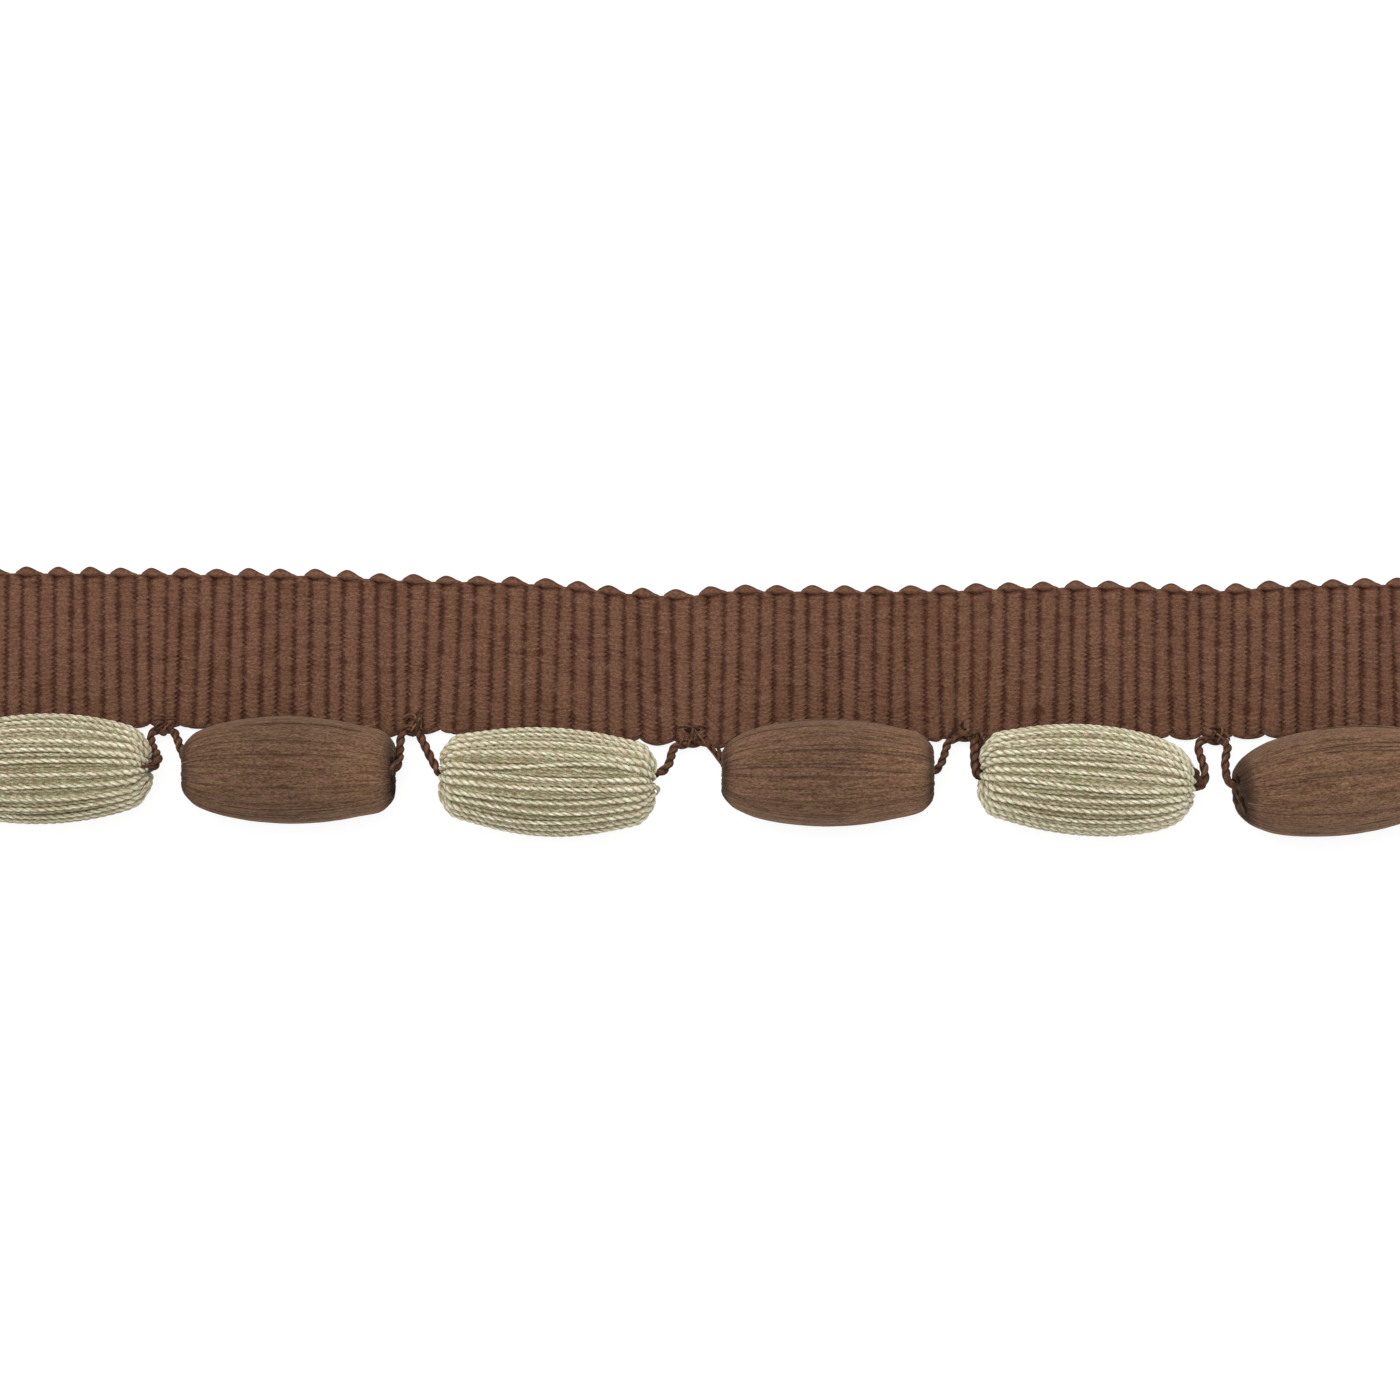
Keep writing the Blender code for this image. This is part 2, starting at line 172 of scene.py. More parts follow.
# The finer form that only this script has: the tape
RIB_COLUMNS = (0, 0.06, 0.15, 0.27, 0.5, 0.73, 0.85, 0.94)  # where a rib has points
RIB_FULLNESS = 0.85  # power of a rib's round section
RIB_TONES = (0.82, 0.96)
RIB_MOTTLE = ((47, 0.08), (17, 0.02))  # of the tone along a rib: knots across the tape, share
CREST_UNEVEN = 0.06  # how much lower a crest can be
WARP_YARNS = 32  # fine yarns across each rib, half a yarn on from those of the rib beside it
YARN_ROWS = 112  # points across the tape's width
YARN_RISE = 0.04
YARN_HIGHLIGHT = 0.08  # painted highlight, how much lighter a yarn is where it stands up
YARN_UNEVEN = 0.5  # standard deviation of a yarn's rise, as a share
YARN_ZIGZAG = 0.14  # how far the yarns push a valley sideways
ZIGZAG_WIDTH = 0.15  # how far into the rib that goes, in rib pitches
VALLEY_SHADE_TONE = 0.4  # the tone of the painted shade at a valley's bottom
VALLEY_SHADE_WIDTH = 0.22  # how far into the rib that painted shade goes, in rib pitches
VALLEY_TEETH = 0.03  # how far the yarns shift its end
VALLEY_RAGGED = ((47, 0.07), (14, 0.02))  # how unevenly it ends: knots across the tape, rib pitches
HEM_INSET, HEM_NOTCH = 0.1, 0.12  # how far inside the lower edge a rib ends, and a valley past that
CROWN_REACH = 0.06  # how far past the upper edge a rib ends
BACK_ROWS = 12
# how deep the back's valleys are, and the tone of the painted shade at their bottoms
BACK_VALLEY, BACK_VALLEY_SHADE = 0.28, 0.5
BACK_INSET, BACK_LIFT = 0.1, 0.16  # how far inside the front's the back's edges are, and how far up
# How far ribs are from an even pitch. Columns: x, shift at the upper edge, shift at the lower edge
RIB_DRIFT = np.array((
    (-78.4, 0, 0), (-62.9, 0.03, -0.05), (-53, -0.38, -0.5), (-43.4, -0.5, -0.72),
    (-33.5, -0.4, -0.66), (-23.7, -0.31, -0.64), (-14, -0.27, -0.6), (-4.1, -0.27, -0.26),
    (5.7, 0.18, 0.11), (15.5, 0.33, 0.25), (25.3, 0.4, 0.34), (35, 0.6, 0.44), (44.9, 0.59, 0.47),
    (54.7, 0.34, 0.32), (64.5, 0.14, 0.2), (78.4, 0, 0),
))
RIB_UNEVEN = 0.075  # standard deviation of a valley's place
RIB_ALTERNATE = 0.09  # how far a loop draws its two valleys together
CATCH_LIFT = 0.15  # share of each catch's rise that isn't in TAPE_EDGES

SEED = 27
rng = np.random.default_rng(SEED)


def between(position, table, column):
    """The table's value at this position, read between its rows."""
    return np.interp(position, table[:, 0], table[:, column])


def unit(rows):
    return rows / np.linalg.norm(rows, axis=-1, keepdims=True)


def smooth_step(value, low, high):
    share = share_past(value, low, high - low)
    return share * share * (3 - 2 * share)


def run_along(path):
    """How far along the path each of its points is."""
    return np.concatenate([[0], np.cumsum(np.linalg.norm(np.diff(path, axis=0), axis=1))])


CURVE_STEPS = 24  # between two points of a route


def smooth_route(points, step):
    """Points a step apart along a smooth curve through the given ones, and how far along each is."""
    points = np.asarray(points, dtype=float)
    held = np.vstack([2 * points[0] - points[1], points, 2 * points[-1] - points[-2]])
    fine = []
    for before, start, end, after in zip(held, held[1:], held[2:], held[3:]):
        for share in np.linspace(0, 1, CURVE_STEPS, endpoint=False):
            square, cube = share * share, share**3
            fine.append(
                0.5 * (2 * start + (end - before) * share
                       + (2 * before - 5 * start + 4 * end - after) * square
                       + (3 * start - before - 3 * end + after) * cube)
            )
    fine = np.array(fine + [points[-1]])
    run = run_along(fine[:, :3])
    marks = np.linspace(0, run[-1], max(3, int(round(run[-1] / step)) + 1))
    return np.column_stack([np.interp(marks, run, column) for column in fine.T]), marks


def carried_normals(path):
    """A direction across the path at each point, upwards at first and carried along without twisting."""
    tangents = unit(np.gradient(path, axis=0))
    normal = np.array((0, 0, 1))
    normals = []
    for tangent in tangents:
        normal = normal - normal.dot(tangent) * tangent
        normal = normal / np.linalg.norm(normal)
        normals.append(normal)
    return np.array(normals)


def square_to(path, normals):
    """The path's directions, and the normals turned square to them."""
    tangents = unit(np.gradient(path, axis=0))
    return tangents, unit(normals - np.sum(normals * tangents, axis=1, keepdims=True) * tangents)


def share_past(value, start, span):
    """0 up to the start, 1 past the span, and even between them."""
    return np.clip((value - start) / span, 0, 1)


def bell(away, width):
    return np.exp(-((away / width) ** 2))


def vectors(*parts):
    """One array of vectors from their parts, each spread to the same shape."""
    return np.stack(np.broadcast_arrays(*parts), axis=-1)


def new_object(name, data):
    thing = bpy.data.objects.new(name, data)
    bpy.context.collection.objects.link(thing)
    return thing


class Shape:
    """Closed surfaces gathered into one mesh, with a tone and a grain position kept for each point.
    The tone holds the yarn's own variation and painted light and shade.
    """

    def __init__(self):
        self.points = []
        self.faces = []
        self.tones = []
        self.grains = []
        self.count = 0

    def add_rings(self, rings, tones, grains):
        """Rings of points joined in order and closed at both ends. rings is (rings, sides, 3)."""
        count, sides = rings.shape[:2]
        index = self.count + np.arange(count * sides).reshape(count, sides)
        beside = np.roll(index, -1, axis=1)
        quads = np.stack([index[:-1], beside[:-1], beside[1:], index[1:]], axis=-1).reshape(-1, 4)
        self.faces += quads.tolist() + [index[0][::-1].tolist(), index[-1].tolist()]
        self.points.append(rings.reshape(-1, 3))
        self.tones.append(np.broadcast_to(tones, count * sides))
        self.grains.append(grains.reshape(-1, 3))
        self.count += count * sides

    def make(self, name, material, slot, *nodes):
        """Make the mesh, ride it on the trim's one body, and let it stand for these CAD nodes."""
        mesh = bpy.data.meshes.new(name)
        mesh.from_pydata(np.vstack(self.points) * MM, [], self.faces)
        mesh.shade_smooth()
        tone = mesh.attributes.new("tone", "FLOAT", "POINT")
        tone.data.foreach_set("value", np.concatenate(self.tones).astype(np.float32))
        grain = mesh.attributes.new("grain", "FLOAT_VECTOR", "POINT")
        grain.data.foreach_set("vector", np.vstack(self.grains).astype(np.float32).ravel())
        mesh.materials.append(material)
        mesh.update()
        thing = new_object(name, mesh)
        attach(thing, "root")
        if nodes:
            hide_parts(*nodes)
        return thing


GRAIN_SHIFTS = (0, 100)  # each yarn has a part of the noise to itself
ANY_ANGLE = (0, 6.28)


def add_tube(shape, path, radii, sides=6, normals=None, tone=1):
    """A round yarn along the path. Its grain runs lengthwise. tone may differ along and around it."""
    tangents, normals = square_to(path, carried_normals(path) if normals is None else normals)
    across = np.cross(tangents, normals)
    angles = 2 * np.pi * np.arange(sides) / sides
    radii = np.broadcast_to(np.asarray(radii, dtype=float), len(path))[:, None, None]
    cos, sin = np.cos(angles)[:, None], np.sin(angles)[:, None]
    rings = path[:, None] + radii * (cos * normals[:, None] + sin * across[:, None])
    away = rng.uniform(*GRAIN_SHIFTS)
    radii = radii[..., 0]
    grains = vectors(run_along(path)[:, None] + away, cos.T * radii, sin.T * radii + away)
    shape.add_rings(rings, np.broadcast_to(tone, (len(path), sides)).ravel(), grains)


PLY_CLOSENESS = 0.45  # of strands to their cord's middle, as a share of their radius
HIGHLIGHT_HEIGHTS = (0.45, 1)  # heights on a cord, 1 at its crest, where the painted highlight starts and is strongest
CREASE_SHADE_FACING = (-0.4, 0.65)  # where the painted shade between strands starts to fade and ends, -1 where strands meet and 1 outside


def add_two_ply(shape, path, normals, strand, lay, sides=6, tone=1, start=0, lit=0, crease=0.6):
    """Two strands of this radius laid round each other and pressed together.

    lit is a painted highlight, how much lighter the cord is on the crest that its normals point to, and
    crease is painted shade, the share of its tone where the strands meet.
    """
    tangents, normals = square_to(path, normals)
    across = np.cross(normals, tangents)
    run = run_along(path)
    strand = np.broadcast_to(np.asarray(strand, dtype=float), len(path))
    angles = 2 * np.pi * np.arange(sides) / sides
    for order in range(2):
        turn = 2 * np.pi * (run / lay + order / 2) + start
        offset = np.cos(turn)[:, None] * across + np.sin(turn)[:, None] * normals
        lift = (PLY_CLOSENESS * np.sin(turn)[:, None] + np.cos(angles)) / (1 + PLY_CLOSENESS)
        fold_shade = crease + (1 - crease) * smooth_step(np.sin(turn[:, None] - angles), *CREASE_SHADE_FACING)
        add_tube(shape, path + PLY_CLOSENESS * strand[:, None] * offset, strand, sides, normals,
                 (tone + lit * smooth_step(lift, *HIGHLIGHT_HEIGHTS)) * fold_shade)


def set_down(points):
    """Press what lies lower than the flat spot's height on to the surface, in proportion."""
    height = points[..., 2]
    pressed = np.maximum(FLAT_SPOT * (height + SINK) / (FLAT_SPOT + SINK), 0)
    points[..., 2] = np.where(height < FLAT_SPOT, pressed, height)


# Materials


def fill(tree, node, **inputs):
    """Set each input, or link it if its value is a socket. Names have _ for a space."""
    for name, value in inputs.items():
        socket = node.inputs[name.replace("_", " ")]
        if isinstance(value, bpy.types.NodeSocket):
            tree.links.new(value, socket)
        else:
            socket.default_value = value
    return node


def new_material(name, **inputs):
    """A material, its node tree and its shader."""
    material = bpy.data.materials.new(name)
    material.use_nodes = True
    tree = material.node_tree
    return material, tree, fill(tree, tree.nodes["Principled BSDF"], **inputs)


def new_yarn(name, rough, sheen, tint):
    """A matt yarn with nothing in its colour yet."""
    return new_material(name, Roughness=rough, Specular_IOR_Level=0.15, Sheen_Weight=sheen,
                        Sheen_Roughness=0.5, Sheen_Tint=(*tint, 1))


def own_value(tree, name, output="Fac"):
    """The tone or grain that each point of the mesh carries."""
    node = tree.nodes.new("ShaderNodeAttribute")
    node.attribute_name = name
    return node.outputs[output]


def noise(tree, vector, scale, detail, rough):
    node = tree.nodes.new("ShaderNodeTexNoise")
    return fill(tree, node, Vector=vector, Scale=scale, Detail=detail, Roughness=rough).outputs["Fac"]


def stretch(tree, vector, scales):
    """The vector with each part multiplied by its own scale."""
    node = tree.nodes.new("ShaderNodeVectorMath")
    node.operation = "MULTIPLY"
    tree.links.new(vector, node.inputs[0])
    node.inputs[1].default_value = scales
    return node.outputs[0]


def ramp(tree, factor, *stops):
    """Colours by the factor. stops are (position, colour) pairs."""
    node = fill(tree, tree.nodes.new("ShaderNodeValToRGB"), Fac=factor)
    band = node.color_ramp
    while len(band.elements) < len(stops):
        band.elements.new(0.5)
    for element, (position, colour) in zip(band.elements, stops):
        element.position = position
        element.color = (*colour, 1)
    return node.outputs["Color"]


def mix(tree, factor, first, second, blend="MIX"):
    """Two colours mixed by the factor. Each of the three is a socket or a value."""
    node = tree.nodes.new("ShaderNodeMix")
    node.data_type = "RGBA"
    node.blend_type = blend
    for index, value in ((0, factor), (6, first), (7, second)):
        if isinstance(value, bpy.types.NodeSocket):
            tree.links.new(value, node.inputs[index])
        else:
            node.inputs[index].default_value = (*value, 1) if index else value
    return node.outputs[2]


def times(tree, first, second):
    return mix(tree, 1, first, second, "MULTIPLY")


def dress(tree, shader, colour, height, strength, distance):
    """Give the shader its colour, and bumps whose distance is in millimetres."""
    node = tree.nodes.new("ShaderNodeBump")
    fill(tree, node, Height=height, Strength=strength, Distance=distance * MM)
    fill(tree, shader, Base_Color=colour, Normal=node.outputs["Normal"])


def position(tree):
    return tree.nodes.new("ShaderNodeTexCoord").outputs["Object"]


def tape_material():
    """Brown spun yarn, mottled where fibres catch the light. Painted shade makes it darker and warmer
    between ribs and under the upper loops, and painted highlights lighten yarns where they stand up.
    """
    material, tree, shader = new_yarn("tape yarn", 0.9, 0.06, (0.9, 0.62, 0.5))
    place = position(tree)
    fibres = noise(tree, stretch(tree, place, (0.8, 1.8, 1)), 3600, 3, 0.85)
    colour = ramp(tree, fibres, (0.3, (0.07, 0.027, 0.013)), (0.5, (0.138, 0.065, 0.038)),
                  (0.7, (0.236, 0.128, 0.084)))
    hue = noise(tree, place, 1900, 2, 0.6)
    tint = ramp(tree, hue, (0.36, (1.04, 0.97, 1.02)), (0.5, (1, 1, 1)),
                (0.64, (0.98, 1.02, 0.92)))
    colour = times(tree, colour, tint)
    # the warm dark colour of the painted shade
    shade = times(tree, colour, (0.24, 0.05, 0))
    colour = mix(tree, own_value(tree, "tone"), shade, colour)
    dress(tree, shader, colour, noise(tree, place, 4600, 3, 0.8), 0.8, 0.08)
    return material


def cream_material():
    """Cream two-ply cord: bright strands, olive where it lies deeper, partly the cord's own duller colour
    and partly painted shade.
    """
    material, tree, shader = new_yarn("cream cord", 0.8, 0.04, (1, 0.95, 0.8))
    grain = own_value(tree, "grain", "Vector")
    fibres = noise(tree, stretch(tree, grain, (2.2, 4, 4)), 1, 4, 0.75)
    bright = ramp(tree, fibres, (0.32, (0.41, 0.36, 0.225)), (0.5, (0.62, 0.565, 0.4)),
                  (0.66, (0.89, 0.86, 0.725)))
    deep = ramp(tree, fibres, (0.32, (0.1, 0.076, 0.027)), (0.5, (0.215, 0.18, 0.09)),
                (0.66, (0.46, 0.42, 0.28)))
    colour = mix(tree, own_value(tree, "tone"), deep, bright)
    hue = noise(tree, position(tree), 900, 2, 0.6)
    tint = ramp(tree, hue, (0.38, (1.03, 0.975, 1)), (0.5, (1, 1, 1)),
                (0.62, (0.975, 1.02, 0.98)))
    dress(tree, shader, times(tree, colour, tint), fibres, 0.6, 0.08)
    return material


def floss_material():
    """Brown floss laid lengthwise, fine dull filaments with thin darker lines and flecks."""
    material, tree, shader = new_yarn("brown floss", 0.9, 0.3, (0.66, 0.455, 0.33))
    grain = own_value(tree, "grain", "Vector")
    lines = noise(tree, stretch(tree, grain, (0.4, 3.4, 3.4)), 1, 3, 0.6)
    colour = ramp(tree, lines, (0.32, (0.075, 0.036, 0.018)), (0.46, (0.117, 0.062, 0.035)),
                  (0.68, (0.154, 0.087, 0.052)))
    specks = noise(tree, stretch(tree, grain, (2.6, 6, 6)), 1, 2, 0.85)
    mottle = ramp(tree, specks, (0.32, (0.48, 0.39, 0.32)), (0.5, (1, 1, 1)),
                  (0.68, (1.5, 1.56, 1.6)))
    colour = times(tree, colour, mottle)
    hue = noise(tree, stretch(tree, grain, (0.5, 1.4, 1.4)), 1, 2, 0.6)
    tint = ramp(tree, hue, (0.36, (1.05, 0.95, 1.02)), (0.5, (1.01, 1, 1)),
                (0.64, (0.99, 1.02, 0.9)))
    # the tone carries painted shade and the ridges' painted light and shade
    colour = times(tree, times(tree, colour, tint), own_value(tree, "tone"))
    dress(tree, shader, colour, specks, 0.5, 0.1)
    return material


def stringing_material():
    """Dark brown yarn of the stringing cord and the catch stitches."""
    material, tree, shader = new_yarn("stringing yarn", 0.85, 0.05, (0.9, 0.6, 0.48))
    grain = own_value(tree, "grain", "Vector")
    fibres = noise(tree, stretch(tree, grain, (1.5, 4.5, 4.5)), 1, 4, 0.7)
    colour = ramp(tree, fibres, (0.3, (0.03, 0.013, 0.007)), (0.5, (0.088, 0.038, 0.021)),
                  (0.7, (0.185, 0.092, 0.052)))
    dress(tree, shader, times(tree, colour, own_value(tree, "tone")), fibres, 0.5, 0.08)
    return material


# The tape


def bead_outline(wrap):
    """The whole outline of a bead from end to end, as shares of its half length and largest radius."""
    half = BEAD_OUTLINES[wrap]
    return np.array([(-along, share) for along, share in reversed(half)] + list(half))


def bead_radius(bead, x):
    """The bead's outer radius where its axis passes x, or 0 past its ends."""
    outline = bead_outline(bead.wrap)
    along = (x - bead.x) / (bead.length / 2)
    return np.where(np.abs(along) > 1, 0, bead.radius * between(along, outline, 1))


def edge_above_beads(x, height):
    """The lowest y that keeps the tape's edge clear of the beads at x, for a point at this height."""
    lowest = np.full(np.shape(x), -np.inf)
    for bead in BEADS:
        radius = bead_radius(bead, x)
        drop = bead.radius - SINK - height
        reach = bead.y + np.sqrt(np.maximum(radius * radius - drop * drop, 0)) + GAP
        lowest = np.where(radius > drop, np.maximum(lowest, reach), lowest)
    return lowest


def tape_edges(x):
    """The tape's upper edge between loops and its lower edge at the loops, at x."""
    upper, lower = (
        np.mean([between(x + step, TAPE_EDGES, column) for step in EDGE_BLEND], axis=0)
        for column in (1, 2)
    )
    for centre, rise in CATCHES:
        lower = lower + CATCH_LIFT * rise * bell(x - centre, CATCH_WIDTH)
    for centre, drop, half_width in HEM_DROPS:
        lower = lower - drop * bell(x - centre, half_width)
    lower = np.maximum(lower, edge_above_beads(x, EDGE_HEIGHT))
    return upper, np.maximum(lower, edge_above_beads(x, CREST_HEIGHT) - EDGE_ROUNDING)


def rib_place(ribs, share=1):
    """The x of this many ribs from the tape's left end, at this share of the way to its upper edge."""
    x = ribs * RIB_PITCH - TAPE_LENGTH / 2
    return x + between(x, RIB_DRIFT, 1) * share + between(x, RIB_DRIFT, 2) * (1 - share)


def weft_loop(ribs, half_width=0.88):
    """How far a loop stands out at this many ribs, from 0 between two loops to 1 at a loop's middle."""
    from_middle = np.abs(ribs % 2 - 1)
    return np.sqrt(np.maximum(0, 1 - (from_middle / half_width) ** 2))


def rib_lean(x, share):
    """How far a rib is drawn sideways to the nearest catch, most at the lower edge, where share is 0."""
    lean = 0
    for centre, _ in CATCHES:
        away = (x - centre) / GATHER_WIDTH
        lean = lean - GATHER * away * np.exp(0.5 - 0.5 * away * away)
    return lean * (1 - share) ** 2


def along_ribs(share, *spreads):
    """A random value for each rib at each share of the tape's width, eased between a number of knots."""
    total = 0
    for knots, spread in spreads:
        near = np.maximum(0, 1 - np.abs(share * (knots - 1) - np.arange(knots)[:, None]))
        total = total + rng.normal(0, spread, (RIB_COUNT + 1, knots)) @ near
    return total


# The painted shadow under an upper loop, a dark bow on the ribs: its place and width in rib pitches, how
# far its ends are outside the edge and how far down its middle comes, how dark its ends are and its
# middle more, and its fade
BOW_SHIFT, BOW_HALF_WIDTH = 0.2, 0.8
BOW_OUT, BOW_DEPTH = 0.1, 0.38
BOW_SHADES = (0.2, 0.4)
BOW_FADE = (0.08, 0.3)


def build_tape(material):
    """Rings round the tape, front and back, one for each of RIB_COLUMNS in each rib."""
    ribs = (np.arange(RIB_COUNT)[:, None] + np.array(RIB_COLUMNS)).ravel()
    ribs = np.append(ribs, RIB_COUNT)[:, None]
    rib = np.minimum(ribs[:, 0].astype(int), RIB_COUNT - 1)
    valley = np.round(ribs[:, 0]).astype(int)
    across = ribs % 1
    from_valley = np.minimum(across, 1 - across)
    x = rib_place(ribs)
    upper, lower = tape_edges(x)
    rise = np.power(1 - np.power(np.abs(2 * across - 1), 2.0), RIB_FULLNESS)
    hem = lower + HEM_INSET + BOTTOM_LOOP * (1 - weft_loop(ribs + 1)) + HEM_NOTCH * (1 - rise)
    bow = weft_loop(ribs - BOW_SHIFT, BOW_HALF_WIDTH)
    crown = upper + CROWN_REACH - CROWN_REACH * (1 - rise) * (1 - bow)
    uneven = rng.uniform(-CREST_UNEVEN, 0, RIB_COUNT + 1)[rib][:, None]
    crest = VALLEY_HEIGHT + (CREST_HEIGHT - YARN_RISE + uneven - VALLEY_HEIGHT) * rise

    share = np.linspace(0, 1, YARN_ROWS)
    y = hem + (crown - hem) * share
    from_edge = np.minimum(y - hem, crown - y)
    fall = np.sqrt(1 - (1 - share_past(from_edge, 0, EDGE_ROUNDING)) ** 2)
    swell = 1 + along_ribs(share, (WARP_YARNS + 1, YARN_UNEVEN))
    order = 2 * WARP_YARNS * share
    yarn = np.cos(np.pi * (order + rib[:, None])) * swell[rib]
    crossing = np.cos(np.pi * (order + valley[:, None] - 1)) * swell[valley]
    z = EDGE_HEIGHT + (crest - EDGE_HEIGHT) * fall + YARN_RISE * yarn * rise
    zigzag = YARN_ZIGZAG * crossing * bell(from_valley, ZIGZAG_WIDTH)
    zigzag[[0, -1]] = 0
    strays = rng.normal(0, RIB_UNEVEN, (RIB_COUNT + 1, 2))
    strays[:, 1] += RIB_ALTERNATE * (-1) ** np.arange(RIB_COUNT + 1)
    strays[[0, -1]] = 0
    low, high = (np.interp(ribs, np.arange(RIB_COUNT + 1), end) for end in strays.T)

    def along(share):
        """Where the rings are along the tape at this share of its width."""
        return rib_place(ribs, share) + rib_lean(x, share) + (low * (1 - share) + high * share)

    back_share = np.linspace(1, 0, BACK_ROWS)
    back_y = hem + BACK_INSET + (crown - hem - 2 * BACK_INSET) * back_share
    back_z = np.broadcast_to(BACK_VALLEY * (1 - rise), back_y.shape).copy()
    back_z[:, [0, -1]] += BACK_LIFT
    front, back = vectors(along(share) + zigzag, y, z), vectors(along(back_share), back_y, back_z)
    rings = np.concatenate([front, back], axis=1)

    rib_tone = rng.uniform(*RIB_TONES, RIB_COUNT + 1)[rib][:, None]
    ragged = along_ribs(share, *VALLEY_RAGGED)[valley] + VALLEY_TEETH * crossing
    # painted shade, darker towards each valley between ribs
    depth = VALLEY_SHADE_TONE + (1 - VALLEY_SHADE_TONE) * smooth_step(from_valley + ragged, 0, VALLEY_SHADE_WIDTH)
    # painted highlight on raised yarns, with each rib's own random mottle
    yarn_highlight_and_mottle = 1 + YARN_HIGHLIGHT * yarn * rise + along_ribs(share, *RIB_MOTTLE)[rib]
    # painted shadow of each upper loop on the ribs below it
    from_bow = smooth_step(upper + BOW_OUT - BOW_DEPTH * bow - y, *BOW_FADE)
    bow_shade = (BOW_SHADES[0] + BOW_SHADES[1] * bow) * (1 - from_bow)
    front_tones = rib_tone * depth * yarn_highlight_and_mottle * (1 - bow_shade)
    # painted shade in the back's valleys
    back_tones = rib_tone * (BACK_VALLEY_SHADE + (1 - BACK_VALLEY_SHADE) * rise)
    tones = np.concatenate([front_tones, np.broadcast_to(back_tones, back_z.shape)], axis=1)
    shape = Shape()
    shape.add_rings(rings[:, ::-1], tones[:, ::-1].ravel(), rings)
    return shape.make("rib_weave", material, "tape_yarn", "ribbed_tape")


# One loop of weft along the upper edge, from its left foot. Columns: ribs from its start, out from the
# edge, height, radius
UPPER_LOOP = (
    (0.02, -0.55, 0.85, 0.12), (0.08, -0.05, 1, 0.17), (0.3, 0.15, 1.08, 0.3),
    (0.66, 0.21, 1.24, 0.52), (1.02, 0.13, 1.22, 0.44), (1.36, 0.05, 1.05, 0.24),
    (1.64, -0.04, 0.97, 0.16), (1.9, -0.3, 0.95, 0.12), (2, -0.6, 0.85, 0.1),
)
UPPER_LOOP_START = 0.47
# One loop of the lower edge, from the middle of one rib pair to the next
LOWER_LOOP = (
    (-1.02, 0.75, 0.62, 0.14), (-0.84, 0.5, 0.66, 0.22), (-0.45, 0.33, 0.68, 0.27),
    (0, 0.28, 0.68, 0.28), (0.45, 0.33, 0.68, 0.27), (0.84, 0.5, 0.66, 0.22), (1.02, 0.75, 0.62, 0.14),
)
LOOP_SIDES = 12
LOOP_SIZES, LOOP_WIDTHS = (0.92, 1.08), (0.93, 1.04)  # shares of UPPER_LOOP
LOOP_STRAY = 0.08  # of its start, in rib pitches
END_MARGIN = 0.15  # rib pitches from the tape's ends that loops keep
UPPER_TONES, LOWER_TONES = (0.88, 1.08), (0.75, 0.92)
# Painted shade round a loop, darker towards the tape where it lies on the ribs and where it turns over at
# the edge. Facing is 1 outwards and -1 towards the tape
INNER_SHADE_TONE, INNER_FACE = 0.3, (-0.9, -0.15)
OUTER_SHADE, OUTER_FACE = 0.6, (0.35, 0.95)


def add_loop(shape, form, start, upper_edge, width=1, tone=1, size=1):
    """A weft loop that follows the tape's edge. start is the rib that its form counts from."""
    points = []
    for ribs, out, height, radius in form:
        x = rib_place(min(max(start + ribs * width, END_MARGIN), RIB_COUNT - END_MARGIN))
        upper, lower = tape_edges(x)
        points.append((x, (upper if upper_edge else lower) + out * size, height, radius * size))
    path, _ = smooth_route(points, step=0.13)
    outward = np.tile((0, 1 if upper_edge else -1, 0.2), (len(path), 1))
    facing = np.cos(2 * np.pi * np.arange(LOOP_SIDES) / LOOP_SIDES)
    # painted shade on the loop's sides
    inner_shade = INNER_SHADE_TONE + (1 - INNER_SHADE_TONE) * smooth_step(facing, *INNER_FACE)
    shade = tone * inner_shade * (1 - OUTER_SHADE * smooth_step(facing, *OUTER_FACE))
    add_tube(shape, path[:, :3], path[:, 3], LOOP_SIDES, outward, shade)


def build_edge_loops(material):
    """One loop on each edge for every two ribs."""
    upper, lower = Shape(), Shape()
    for start in range(0, RIB_COUNT, 2):
        size = rng.uniform(*LOOP_SIZES)
        begin = start + UPPER_LOOP_START + rng.uniform(-LOOP_STRAY, LOOP_STRAY)
        width = min(rng.uniform(*LOOP_WIDTHS), (RIB_COUNT - END_MARGIN - begin) / 2)
        add_loop(upper, UPPER_LOOP, begin, True, width, rng.uniform(*UPPER_TONES), size)
        if start > 0:
            add_loop(lower, LOWER_LOOP, start, False, tone=rng.uniform(*LOWER_TONES))
    return (
        upper.make("upper_edge_loops", material, "tape_yarn"),
        lower.make("lower_edge_loops", material, "tape_yarn"),
    )


# The beads

ROUND_POINTS = 73  # every 5 degrees
MOUTH = ((0.99, 1.32), (0.955, 1.12), (0.9, 1.02))  # share of the half length, radius
FULLER = (0.62, 0.95)  # shares of the half length between which an end grows fuller
INSET_FROM, INSET_END = 0.75, 0.75  # where an inset starts to shrink, and its share at the bead's end


def turned_by(angle, axis):
    cos, sin = math.cos(angle), math.sin(angle)
    if axis == "Z":
        return np.array(((cos, -sin, 0), (sin, cos, 0), (0, 0, 1)))
    return np.array(((cos, 0, sin), (0, 1, 0), (-sin, 0, cos)))


def bead_lie(bead):
    """The bead's turn and pitch, as a matrix."""
    turn = math.radians(bead.turn + bead.more)
    return turned_by(turn, "Z") @ turned_by(math.radians(-bead.pitch), "Y")


